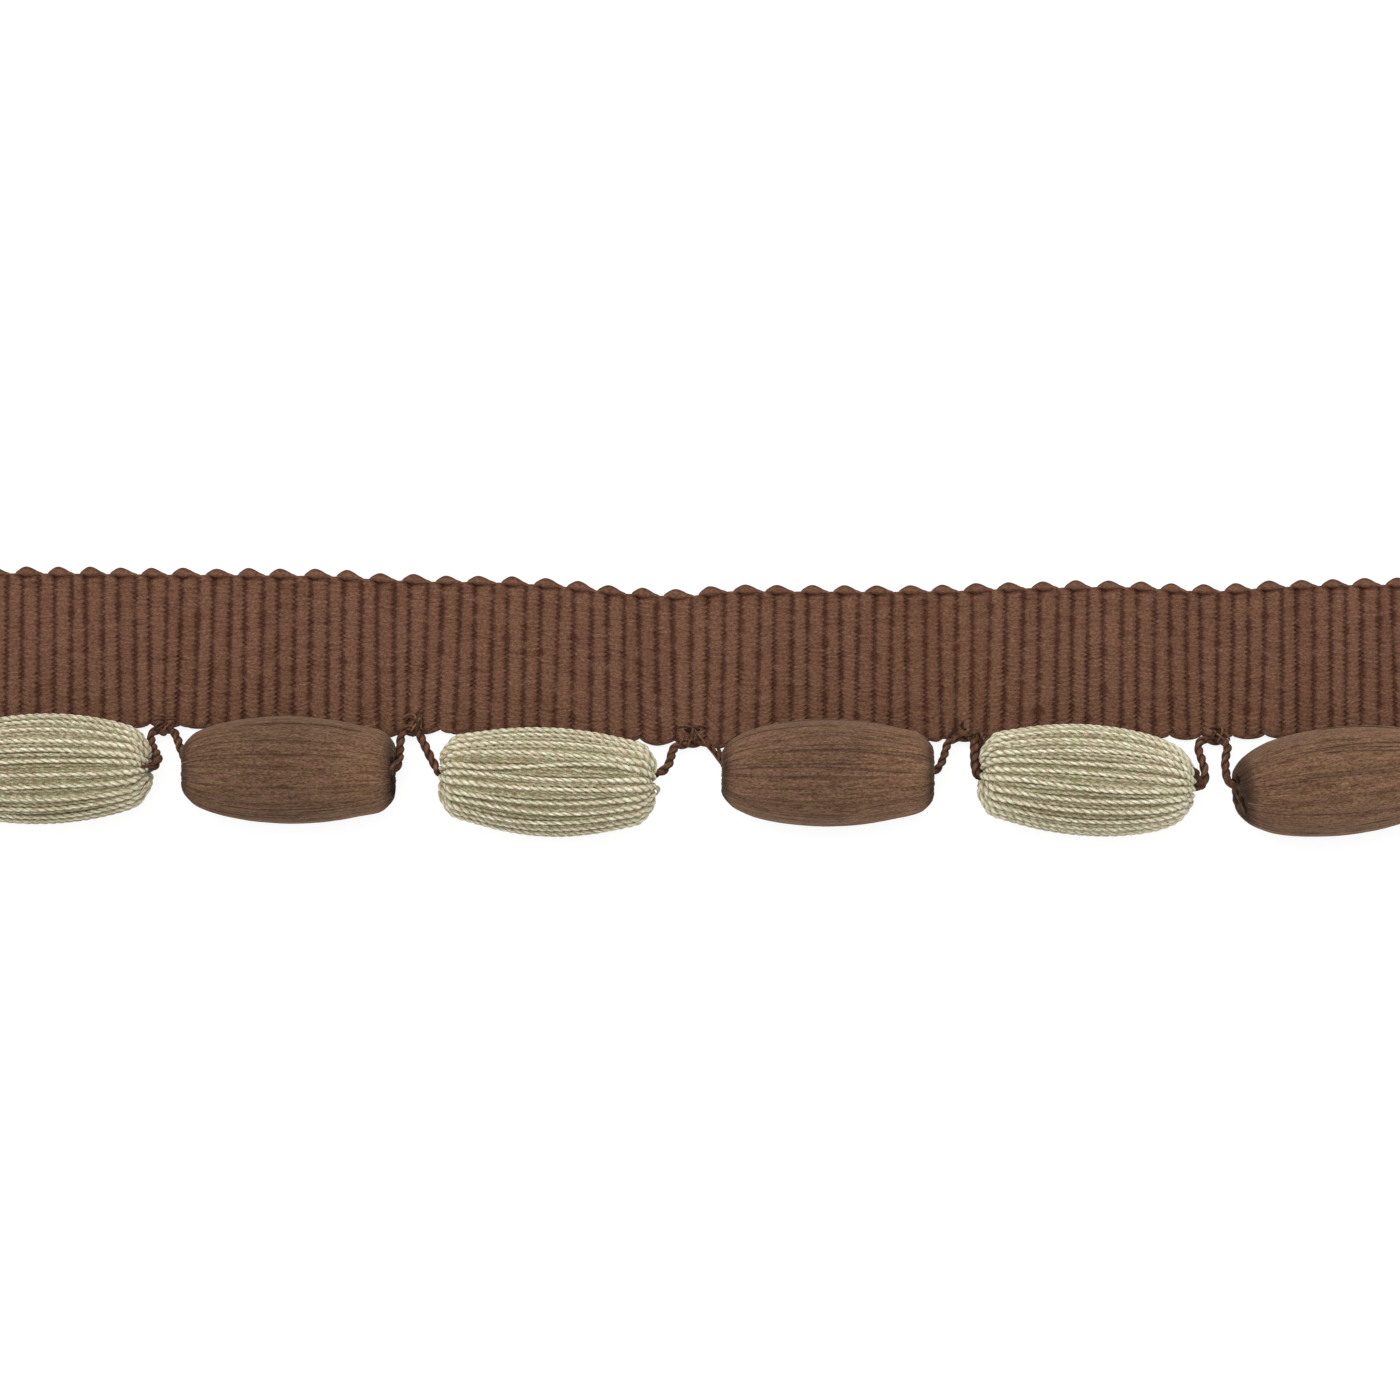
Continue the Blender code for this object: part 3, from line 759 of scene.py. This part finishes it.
def bead_centre(bead):
    """Where the bead's middle is, with its lowest point sunk as in part.py."""
    lie = bead_lie(bead)
    around = np.linspace(0, 2 * np.pi, ROUND_POINTS)
    lowest = 0
    for along, share in bead_outline(bead.wrap):
        out = share * bead.radius
        ring = vectors(along * bead.length / 2, out * np.sin(around), -out * np.cos(around))
        lowest = min(lowest, (ring @ lie.T)[:, 2].min())
    return np.array((bead.x, bead.y, -lowest - SINK))


def wrap_profile(bead, inset, step):
    """A wrap's path over the bead and into both mouths: along and out, outward normals, and the run."""
    half = bead.length / 2
    over = []
    for along, share in bead_outline(bead.wrap):
        fuller = (bead.left if along < 0 else bead.right) * smooth_step(abs(along), *FULLER)
        over.append((along * half, (share + fuller) * bead.radius))
    mouth = [(half * along, out) for along, out in MOUTH]
    points = [(-along, out) for along, out in reversed(mouth)] + over + mouth
    path, run = smooth_route([(along, out, 0) for along, out in points], step)
    tangents = unit(np.gradient(path, axis=0))
    normals = np.column_stack([-tangents[:, 1], tangents[:, 0]])
    inset = np.interp(np.abs(path[:, 0]) / half, (INSET_FROM, 1), (inset, inset * INSET_END))
    return path[:, :2] - inset[:, None] * normals, normals, run


def around_axis(profile, angles):
    """Profile columns (along, out) set at these angles round the bead's axis, which is local X."""
    along, out = profile[..., 0], profile[..., 1]
    return vectors(along, -out * np.sin(angles), out * np.cos(angles))


def make_bead(shape, bead, material, slot):
    """Turn, bend and move what was built round the bead's own axis, and make it."""
    lie, centre = bead_lie(bead), bead_centre(bead)
    for points in shape.points:
        bend = bead.bend * (points[:, 0] / (bead.length / 2)) ** 2
        points[:] = points @ lie.T + centre
        points[:, 1] += bend
        set_down(points)
    shape.make(bead.name.replace("bead", "wrapping"), material, slot, bead.name)


# A strand of a cream cord. Columns: share of the way from the bead's middle to its end, radius
CREAM_STRAND = np.array(((0, 0.155), (0.5, 0.165), (0.78, 0.235), (0.92, 0.265), (1, 0.21)))
CREAM_SIZES = (0.92, 1.1)
CREAM_LAY = 1.7
CREAM_HELD = (0.6, 0.4)  # shares of the half length where cords start to be held, and over how much
CORD_STRAY = 0.1  # as a share of the cords' distance
CORD_SWAY, WIDE_SWAY = 0.04, 0.12  # how far round the bead a cord wanders
STRAY_EVERY = 6  # every such cord wanders widely
CORD_SLACK = (-0.03, 0.05)
END_SINK, SINK_FROM = 0.35, 0.9  # how much deeper every second cord lies at the bead's end
DEEP_STRAND, DEEP_THIN = 0.18, 0.7  # the under layer's strand, and how much thinner its ends are
DEEP_DROP, DEEP_END_DROP = 0.27, 0.2  # how much deeper that layer lies, and its ends more
# The core takes nearly the darkest olive, painted shade where it shows between the cords
CORE_SIDES, CORE_TONE = 32, 0.05
# shift is how many cords the layer is set on by, steps is points in a lay, dim its share of bead.dims.
# The under layer's low tones are partly painted shade, and each layer's crest highlight and the shade
# where strands meet are painted
Layer = namedtuple("Layer", "top cords shift steps sides tones dim lit crease")
LAYERS = (
    Layer(False, 2 * WRAP_CORDS, 0.5, 6, 4, (0, 0.38), 0.6, 0.25, 0.35),
    Layer(True, WRAP_CORDS, 0, 8, 6, (0.52, 0.64), 1, 0.68, 0.02),
)


def build_cream_bead(bead, material):
    """Two layers of two-ply cord lengthwise over a core, drawn together into both mouths."""
    half = bead.length / 2
    shape = Shape()
    deep = CREAM_STRAND[0, 1] * (1 + PLY_CLOSENESS) + DEEP_DROP
    for layer in LAYERS:
        profile, normals, run = wrap_profile(bead, inset=0, step=CREAM_LAY / layer.steps)
        place = np.abs(profile[:, 0]) / half
        dim = layer.dim * np.interp(profile[:, 0] / half, DIM_PLACES, bead.dims)
        ends = share_past(place, *CREAM_HELD)
        for order in range(layer.cords):
            stray = rng.uniform(-CORD_STRAY, CORD_STRAY)
            angle = (order + layer.shift + stray) * (2 * np.pi / layer.cords) + CREAM_PHASE
            sway = WIDE_SWAY if layer.top and order % STRAY_EVERY == 0 else CORD_SWAY
            sway = rng.uniform(-sway, sway) * np.cos(np.pi * run / run[-1] * 2 + rng.uniform(*ANY_ANGLE))
            angles = angle + sway * (1 - ends)
            slack = rng.uniform(*CORD_SLACK) * (1 - ends)
            if layer.top:
                strand = between(place, CREAM_STRAND, 1) * rng.uniform(*CREAM_SIZES)
                sink = END_SINK * (order % 2) * smooth_step(place, SINK_FROM, 1)
                depth = strand * (1 + PLY_CLOSENESS) + slack + sink
            else:
                strand = DEEP_STRAND * (1 - DEEP_THIN * ends**2)
                depth = deep + slack + DEEP_END_DROP * ends
            path = around_axis(profile - depth[:, None] * normals, angles)
            start = rng.uniform(*ANY_ANGLE)
            tone = rng.uniform(*layer.tones) - dim[:, None]
            add_two_ply(shape, path, around_axis(normals, angles), strand, CREAM_LAY, layer.sides, tone,
                        start, layer.lit, layer.crease)
    profile, _, _ = wrap_profile(bead, inset=deep, step=0.8)
    rings = around_axis(profile[:, None], np.linspace(0, 2 * np.pi, CORE_SIDES, endpoint=False))
    shape.add_rings(rings[:, ::-1], CORE_TONE, rings)
    make_bead(shape, bead, material, "cream_cord")


FLOSS_ROUND = 400  # points round a floss-wrapped bead
FLOSS_INSET, FLOSS_SINK = 0.03, 0.05
FLOSS_FINE, FINE_BLEND = 0.018, 0.16  # height of the fine ridges, and how soon they change
FLOSS_COARSE, COARSE_BLEND = 0.01, 0.05
FLOSS_BUNDLE = 4  # points to each side that a coarse ridge spans
FLOSS_LIMITS = (-0.12, 0.08)
FLOSS_END = (0.8, 0.2)  # shares of the half length where the ridges start to grow, and over how much
END_RIDGES = 0.8  # how much higher they are at the bead's end, as a share
RIGHT_FACE = 0.91  # as bead.face, where painted shade begins on the right end's face
FLOSS_GROOVES = 64  # longer grooves between bundles of floss, darkened with painted shade
GROOVE_DEPTH, GROOVE_WIDTH, GROOVE_SWAY = 0.055, 0.085, 0.1
GROOVE_STARTS, GROOVE_LENGTHS = (-0.2, 0.6), (0.25, 0.9)  # shares of the run
GROOVE_PHASES, GROOVE_STRENGTHS = (0, 3), (0.1, 1)
# Painted shade towards both ends, on the end faces and in the grooves, and painted light and shade with
# the ridges' height
END_SHADE, FACE_SHADE, GROOVE_SHADE = 0.15, 0.66, 0.5
FACE_FADE = (0, 0.6)
RIDGE_SHADE, RIDGE_TONES = 2, (0.7, 1.15)
BEAD_GRAIN_SHIFT = 40
LOOSE_FLOSS = 14  # thicker strands that show on each bead
LOOSE_STARTS, LOOSE_LENGTHS, LOOSE_STOP = (0.06, 0.5), (0.3, 0.5), 0.94  # shares of the run
LOOSE_SLANT, LOOSE_SINK = 0.12, 0.05
LOOSE_RADII, LOOSE_TONES = (0.04, 0.07), (0.7, 1.15)


def streaks(stations, blend):
    """Random heights round the bead at each station, mixed with those before so that ridges run on."""
    rows = [rng.normal(0, 1, FLOSS_ROUND)]
    for _ in range(stations - 1):
        fresh = rng.normal(0, 1, FLOSS_ROUND)
        rows.append(math.sqrt(1 - blend) * rows[-1] + math.sqrt(blend) * fresh)
    return np.array(rows)


def build_floss_bead(bead, material):
    """Fine floss lengthwise over the bead, in shallow uneven ridges, closed round into both mouths."""
    profile, normals, run = wrap_profile(bead, inset=FLOSS_INSET, step=0.5)
    place, along = profile[:, 0] / (bead.length / 2), run / run[-1]
    angles = np.linspace(0, 2 * np.pi, FLOSS_ROUND, endpoint=False)
    fine = streaks(len(profile), FINE_BLEND)
    coarse = streaks(len(profile), COARSE_BLEND)
    bundle = range(-FLOSS_BUNDLE, FLOSS_BUNDLE + 1)
    coarse = sum(np.roll(coarse, shift, axis=1) for shift in bundle) / len(bundle) ** 0.5
    ends = share_past(np.abs(place), *FLOSS_END)[:, None]
    ridge = (FLOSS_FINE * fine + FLOSS_COARSE * coarse) * (1 + END_RIDGES * ends)
    ridge = np.clip(ridge, *FLOSS_LIMITS)
    groove = np.zeros_like(ridge)
    for _ in range(FLOSS_GROOVES):
        angle, sway = rng.uniform(0, 2 * np.pi), rng.uniform(-GROOVE_SWAY, GROOVE_SWAY)
        middle = angle + sway * np.cos(np.pi * along + rng.uniform(*GROOVE_PHASES))
        start, length = rng.uniform(*GROOVE_STARTS), rng.uniform(*GROOVE_LENGTHS)
        fade = np.sin(np.pi * share_past(along, start, length)) ** 0.5
        fade = fade * rng.uniform(*GROOVE_STRENGTHS)
        away = (angles - middle[:, None] + np.pi) % (2 * np.pi) - np.pi
        groove = np.maximum(groove, bell(away * profile[:, 1:2], GROOVE_WIDTH) * fade[:, None])
    ridge = ridge - GROOVE_DEPTH * groove
    surface = profile[:, None] + (ridge - FLOSS_SINK)[..., None] * normals[:, None]
    rings = around_axis(surface, angles)
    face = np.where(place < 0, bead.face, RIGHT_FACE)
    face = smooth_step((np.abs(place) - face) / (1 - face), *FACE_FADE)[:, None]
    # painted shade towards the ends, on the end faces and in the grooves, then each bead's own dimming
    painted_shade_and_dim = (1 - END_SHADE * ends**1.5) * (1 - FACE_SHADE * face) * (1 - GROOVE_SHADE * groove)
    painted_shade_and_dim = painted_shade_and_dim * (1 - np.interp(place, DIM_PLACES, bead.dims))[:, None]
    tones = painted_shade_and_dim * np.clip(1 + RIDGE_SHADE * ridge, *RIDGE_TONES)
    grains = vectors(run[:, None] + BEAD_GRAIN_SHIFT * bead.x, bead.radius * np.cos(angles),
                     bead.radius * np.sin(angles))
    shape = Shape()
    shape.add_rings(rings[:, ::-1], tones[:, ::-1].ravel(), grains[:, ::-1])
    for _ in range(LOOSE_FLOSS):
        add_loose_floss(shape, bead)
    make_bead(shape, bead, material, "brown_floss")


def add_loose_floss(shape, bead):
    """One thicker strand that lies a little across the others for part of the bead's length."""
    profile, normals, run = wrap_profile(bead, inset=0, step=0.4)
    along = run / run[-1]
    start = rng.uniform(*LOOSE_STARTS)
    stop = start + rng.uniform(*LOOSE_LENGTHS)
    kept = (along > start) & (along < min(stop, LOOSE_STOP))
    angle = rng.uniform(0, 2 * np.pi)
    angles = angle + np.linspace(0, rng.uniform(-LOOSE_SLANT, LOOSE_SLANT), kept.sum())
    rise = np.sin(np.linspace(0, np.pi, kept.sum()))
    depth = (LOOSE_SINK * rise - LOOSE_SINK)[:, None]
    path = around_axis(profile[kept] + depth * normals[kept], angles)
    outward = around_axis(normals[kept], angles)
    radius, tone = rng.uniform(*LOOSE_RADII), rng.uniform(*LOOSE_TONES)
    add_tube(shape, path, radius, sides=5, normals=outward, tone=tone)


# The stringing cord and the threads that catch it

STRAND_LAY = 2.5  # length in which the cord's strands go once round each other
LAY_STEPS = 13  # points along that length
SEWN_STRAND, BORE_STRAND = 0.28, 0.27  # radius of a strand
CORD_FULLNESS = 1.05
BORE_FROM = 0.15  # where in a bead its first point is, as a share of the way to the middle
THREAD_FULLNESS, THREAD_TONE = 1.15, 1.35
# Threads that catch the cord, and dark ones painted as shade. Columns: tone, radius, then x, y and height
# of each point as in CORD_LEGS
THREADS = (
    # beads 1 and 2: lines across the ribs, a tuft, the lump that hangs from the bar
    (0.5, 0.06, -53.9, -1.85, 1.35, -53.3, -1.7, 1.55, -52.6, -1.75, 1.5, -51.9, -1.65, 1.55,
     -51.3, -1.8, 1.3),
    (0.9, 0.06, -53.8, -1.4, 1.35, -53, -1.3, 1.55, -52.2, -1.38, 1.5, -51.6, -1.3, 1.4),
    (0.8, 0.11, -54, -2.95, 1.3, -53.6, -2.4, 1.65, -53.2, -2.1, 1.65, -52.85, -2, 1.4),
    (0.55, 0.1, -53.5, -3.1, 1.3, -53.2, -2.6, 1.68, -52.75, -2.3, 1.65, -52.4, -2, 1.4),
    (1, 0.1, -52.75, -3, 1.4, -52.6, -2.5, 1.72, -52.2, -2.2, 1.65, -51.95, -1.95, 1.4),
    (0.5, 0.12, -52.3, -3, 1.4, -52.05, -2.6, 1.7, -51.8, -2.3, 1.6, -51.75, -2.05, 1.35),
    (0.6, 0.15, -53.3, -2.8, 1.5, -53.05, -3.15, 1.35, -52.7, -3.25, 1.3, -52.4, -2.95, 1.5),
    (0.6, 0.24, -53.7, -6.3, 6.2, -54.3, -6.45, 7.3, -54.8, -6.55, 8.1, -55.25, -6.8, 8.6),
    # beads 2 and 3: a big tangle, and two dark threads painted as shade in a slit in bead 2's right end
    (0.8, 0.15, -29.1, -3.2, 1.7, -28.9, -2.65, 1.75, -28.3, -2.35, 1.75, -27.7, -2.55, 1.75,
     -27.3, -2.95, 1.6),
    (1.1, 0.11, -28.9, -1.75, 1.5, -28.5, -1.35, 1.75, -27.9, -1.25, 1.75, -27.6, -1.6, 1.8,
     -28, -2.2, 1.85, -28.2, -2.6, 1.8),
    (0.5, 0.12, -28.7, -2.05, 1.55, -28.25, -1.5, 1.8, -27.6, -1.85, 1.9, -27.35, -2.4, 1.85,
     -27.6, -3.05, 1.7, -27.9, -3.5, 1.3),
    (1.15, 0.1, -27.1, -1.45, 1.5, -27.4, -2, 1.8, -27.75, -2.5, 1.9, -28.1, -3, 1.75),
    (0.45, 0.1, -28.4, -1.9, 1.6, -27.9, -2.5, 1.8, -27.2, -2.75, 1.75, -26.5, -2.9, 1.3),
    (0.8, 0.1, -27.3, -1.2, 1.45, -27, -1.9, 1.7, -27.05, -2.6, 1.7, -26.7, -3.1, 1.35),
    (0.4, 0.2, -28.75, -3, 1.15, -28.2, -3.2, 1.2, -27.7, -3.25, 1.2, -27.3, -3, 1.2),
    (0.4, 0.08, -28.2, -0.95, 1.45, -28, -1.4, 1.65, -27.5, -1.2, 1.6, -27.2, -0.8, 1.4),
    (0.6, 0.22, -29.3, -5.9, 6, -29.7, -6.2, 7.8, -30, -6.6, 8.35, -30.25, -6.95, 8.5),
    (0.1, 0.2, -30, -5.4, 7.4, -29.95, -5.8, 7.9, -30, -6.3, 8.1),
    (0.1, 0.17, -30, -7.2, 8.45, -29.82, -8, 8, -29.78, -8.8, 7.6, -29.9, -9.5, 7.3),
    # beads 3 and 4: a line across the ribs, two dark threads painted as shade in gaps with a thread
    # between, loose ends
    (0.5, 0.07, -1.6, -2.55, 1.3, -0.9, -2.45, 1.55, -0.1, -2.5, 1.5, 0.8, -2.45, 1.55, 1.9, -2.5, 1.3),
    (0.12, 0.2, -0.75, -2.75, 1.4, -0.45, -2.85, 1.5, -0.15, -2.95, 1.4),
    (0.12, 0.18, 0.35, -2.65, 1.4, 0.6, -2.75, 1.5, 0.9, -2.75, 1.4),
    (0.72, 0.12, 0.15, -2.5, 1.5, 0.1, -3.1, 1.75, -0.1, -3.7, 1.7, -0.3, -4.2, 1.6, -0.25, -4.55, 1.3),
    (0.9, 0.11, -0.75, -3.1, 1.5, -0.85, -3.6, 1.7, -1.1, -4.1, 1.6, -1.1, -4.5, 1.3),
    (0.5, 0.1, 0.7, -3, 1.5, 0.5, -3.6, 1.72, 0.35, -4.1, 1.6, 0.45, -4.5, 1.25),
    (0.7, 0.07, -1.5, -3.9, 1.45, -0.7, -3.75, 1.7, 0.2, -3.8, 1.75, 1, -3.6, 1.5),
    (1, 0.07, 0.3, -2.7, 1.5, 0.9, -3.5, 1.9, 1.4, -4.3, 2.4, 2, -5, 3, 2.6, -5.8, 3.8,
     3.1, -6.4, 4.6),
    (1.2, 0.06, 0.9, -3.4, 1.6, 1.25, -3.9, 1.9, 1.6, -4.5, 2.4, 1.95, -4.95, 2.8, 2.55, -5.7, 3.6),
    (0.5, 0.18, 2.45, -4.2, 1.5, 2.7, -4.7, 2.1, 2.95, -5.3, 3, 3.15, -5.9, 4),
    (1, 0.09, 1.9, -3.9, 1.6, 2.1, -4.4, 1.9, 2.35, -4.9, 2.5, 2.75, -5.7, 3.2, 3.15, -6.5, 4.4),
    # beads 4 and 5: a band that goes on up over the ribs, a knot at the right, and a thick dark thread
    # painted as shade in the gap between the cord and bead 5
    (0.35, 0.11, 25.5, -4.1, 1.7, 25.9, -3.3, 1.75, 26.25, -2.6, 1.75, 26.4, -1.9, 1.7,
     26.5, -1.5, 1.4),
    (0.75, 0.12, 25.8, -4.1, 1.7, 26.5, -3.55, 1.85, 27.2, -3.3, 1.8, 28, -3.35, 1.5),
    (0.3, 0.1, 27.3, -1.9, 1.4, 26.95, -2.3, 1.65, 27.15, -2.6, 1.65, 27.5, -2.75, 1.4),
    (0.6, 0.1, 26.2, -3.75, 1.4, 26.9, -3.3, 1.65, 27.7, -3.35, 1.65, 28.3, -3.1, 1.5),
    (0.45, 0.13, 27.9, -3.95, 1.5, 28.25, -3.35, 1.85, 28.65, -3.1, 1.8, 28.85, -3.5, 1.4),
    (0.9, 0.12, 28.7, -3.9, 1.5, 28.5, -3.3, 1.85, 28.1, -3, 1.75, 27.85, -3.3, 1.4),
    (0.3, 0.28, 28.8, -3.3, 0.9, 28.88, -3.9, 1.4, 28.92, -4.6, 2, 28.92, -5.4, 2.9, 28.85, -6.4, 3.9,
     28.8, -7.3, 4.7),
    # beads 5 and 6: lumps beside the mouth, crossing threads
    (0.5, 0.3, 50.1, -7.1, 5.2, 50.5, -7.5, 5.35, 50.9, -7.9, 5.3, 51.1, -8.3, 5.2),
    (0.45, 0.25, 49.6, -7, 6.6, 49.95, -6.75, 6.7, 50.4, -6.9, 6.5, 50.8, -7.4, 5.8),
    (0.75, 0.22, 49.8, -7.4, 6.7, 50.3, -7.4, 6.5, 50.8, -7.8, 6, 51.2, -8.3, 5.5),
    (0.5, 0.25, 49.9, -7.9, 6.5, 50.4, -8.1, 6.2, 51, -8.3, 5.6, 51.4, -8.3, 5.2),
    (0.8, 0.2, 49.9, -8.5, 6.1, 50.4, -8.7, 5.9, 50.9, -8.5, 5.6, 51.3, -7.9, 5.6),
    (0.35, 0.18, 50.2, -7.05, 6.7, 50.5, -7.5, 6.6, 50.5, -8, 6.4, 50.2, -8.5, 6.2),
    (0.3, 0.1, 51.8, -2.65, 1.4, 52.3, -2.55, 1.6, 52.9, -2.7, 1.55, 53.2, -2.55, 1.35),
    (0.45, 0.12, 51.9, -3.9, 1.4, 52.3, -3.2, 1.75, 52.9, -2.95, 1.75, 53.4, -2.7, 1.4),
    (1, 0.12, 52.1, -2.8, 1.4, 52.6, -3.2, 1.8, 53.1, -3.6, 1.8, 53.5, -4, 1.6),
    (0.9, 0.12, 52.6, -4.1, 1.5, 52.85, -3.5, 1.85, 53.1, -2.9, 1.75, 53, -2.4, 1.4),
    (0.5, 0.1, 51.2, -3.85, 1.45, 52, -3.6, 1.65, 52.8, -3.8, 1.65, 53.3, -4, 1.5),
    (0.8, 0.11, 53.85, -3.9, 1.7, 53.6, -3.3, 1.85, 53.2, -3.1, 1.8, 52.9, -3.3, 1.5),
    # the thread's end along bead 6's rim, and two dark threads painted as its shadow beside it
    (0.6, 0.12, 53.75, -7.3, 6.2, 54.1, -8.5, 7.3, 54.6, -9.5, 8.15, 55.1, -10.5, 8.2,
     55.4, -11.4, 7.75),
    (0.08, 0.2, 54.45, -7.2, 8.1, 54.65, -7.7, 8.25, 54.7, -8.25, 8.15),
    (0.08, 0.16, 54.95, -9.4, 8.5, 55.15, -10, 8.45, 55.4, -10.6, 8.3, 55.5, -11, 8.2),
    # a dark thread painted as shade in a slit in bead 4's right end
    (0.1, 0.1, 22.1, -7.1, 9.12, 22.7, -7.12, 8.95, 23.3, -7.1, 8.72),
    # both sewn ends
    (0.6, 0.1, -77.3, -3.25, 1.1, -77.25, -2.7, 1.5, -77.2, -2.2, 1.5, -77.1, -1.8, 1.2),
    (0.9, 0.1, -76.9, -3.3, 1.2, -76.85, -2.75, 1.6, -76.9, -2.2, 1.55, -76.95, -1.7, 1.2),
    (0.6, 0.1, 76.9, -4.15, 1.2, 77, -3.6, 1.6, 77, -3, 1.55, 76.9, -2.6, 1.2),
    (0.9, 0.1, 77.3, -4, 1.2, 77.35, -3.5, 1.6, 77.4, -3, 1.55, 77.4, -2.6, 1.2),
)
# The end of a cream cord that stands out of bead 3's right mouth, given as the threads are
CREAM_END = (
    (-4.1, -8.9, 5.2), (-3.7, -8.6, 5.6), (-3.45, -8.5, 5.7), (-3.3, -8.85, 5.6), (-3.5, -9.3, 5.4),
)


def seen(points):
    """The points moved so that the camera sees them where it sees their x and y at the crests' height."""
    places = np.array(points, dtype=float)
    nearer = (CAMERA_HEIGHT - places[:, 2]) / (CAMERA_HEIGHT - CREST_HEIGHT)
    places[:, 0] = CAMERA_X + (places[:, 0] - CAMERA_X) * nearer
    places[:, 1] = CAMERA_Y + (places[:, 1] - CAMERA_Y) * nearer
    return places


def with_strand(points, strand):
    return [(*point, strand) for point in points]


def build_cord(material):
    """The two-ply cord from its sewn left end through all six beads to its sewn right end."""
    route = [with_strand(CORD_LEFT_END, SEWN_STRAND)]
    for order, bore in enumerate(CORD_BORES):
        if order > 0:
            route.append(seen(CORD_LEGS[order - 1]))
        left, middle, right = np.array(bore)
        inside = ((1 - BORE_FROM) * left + BORE_FROM * middle, middle,
                  BORE_FROM * middle + (1 - BORE_FROM) * right)
        route.append(with_strand(inside, BORE_STRAND))
    route.append(with_strand(CORD_RIGHT_END, SEWN_STRAND))
    path, _ = smooth_route(np.vstack(route), STRAND_LAY / LAY_STEPS)
    shape = Shape()
    # painted highlight on the strands' crests and painted shade where they meet
    add_two_ply(shape, path[:, :3], carried_normals(path[:, :3]), CORD_FULLNESS * path[:, 3], STRAND_LAY,
                sides=10, tone=0.75, lit=0.55, crease=0.03)
    shape.make("two_ply_cord", material, "stringing_yarn", "stringing_cord")


def build_threads(material):
    """The catch stitches and the dark threads of painted shade, each thread thinner at both ends."""
    shape = Shape()
    for tone, radius, *points in THREADS:
        path, run = smooth_route(seen(np.reshape(points, (-1, 3))), step=0.12)
        taper = np.clip(np.minimum(run, run[-1] - run) / (2 * radius), 0.25, 1)
        add_tube(shape, path, THREAD_FULLNESS * radius * taper, tone=THREAD_TONE * tone)
    shape.make("catch_stitches_and_shade", material, "stringing_yarn")


def build_cream_end(material):
    path, run = smooth_route(seen(CREAM_END), step=0.1)
    shape = Shape()
    strand = 0.15 * np.clip((run[-1] - run) / 0.4, 0.4, 1)
    # painted highlight on the strands' crests and painted shade where they meet
    add_two_ply(shape, path, carried_normals(path), strand, lay=1.2, tone=0.5, lit=0.3, crease=0.4)
    shape.make("wrapping_3_end", material, "cream_cord")


# The camera, floor and light. The floor and light are in metres

FLOOR_SIDE, FLOOR_LEVEL = 1.2, -0.02 * MM
FLOOR_CORNERS = ((-1, -1), (1, -1), (1, 1), (-1, 1))
WHITE = (1, 1, 1, 1)


def add_camera():
    camera = new_object("photo_camera", bpy.data.cameras.new("photo_camera"))
    camera.location = (CAMERA_X * MM, CAMERA_Y * MM, CAMERA_HEIGHT * MM)
    camera.data.lens = LENS
    camera.data.sensor_width = SENSOR
    bpy.context.scene.camera = camera


def add_floor():
    """White paper that glows a little, so that shadows on it stay faint."""
    mesh = bpy.data.meshes.new("floor")
    corners = [(x * FLOOR_SIDE, y * FLOOR_SIDE, FLOOR_LEVEL) for x, y in FLOOR_CORNERS]
    mesh.from_pydata(corners, [], [(0, 1, 2, 3)])
    material, _, _ = new_material("floor paper", Base_Color=(0.2, 0.2, 0.2, 1), Roughness=1,
                                  Emission_Color=WHITE, Emission_Strength=0.85)
    mesh.materials.append(material)
    floor = new_object("floor", mesh)
    return floor


def add_light(name, place, size, power):
    """A square soft light that faces the trim's middle."""
    light = bpy.data.lights.new(name, "AREA")
    light.size = size
    light.energy = power
    thing = new_object(name, light)
    thing.location = place
    thing.rotation_euler = (-thing.location).to_track_quat("-Z", "Y").to_euler()


def light_scene():
    world = bpy.data.worlds.new("soft white room")
    bpy.context.scene.world = world
    world.use_nodes = True
    fill(world.node_tree, world.node_tree.nodes["Background"], Color=WHITE, Strength=0.75)
    add_light("large_soft_box", place=(-0.08, 0.22, 0.56), size=0.5, power=2.8)
    bpy.context.scene.view_settings.view_transform = "Standard"


add_camera()
floor = add_floor()
light_scene()

tape_yarn = tape_material()
tape = build_tape(tape_yarn)
loops = build_edge_loops(tape_yarn)
cream, floss = cream_material(), floss_material()
for bead in BEADS:
    if bead.wrap == "cream":
        build_cream_bead(bead, cream)
    else:
        build_floss_bead(bead, floss)
build_cream_end(cream)
stringing = stringing_material()
build_cord(stringing)
build_threads(stringing)
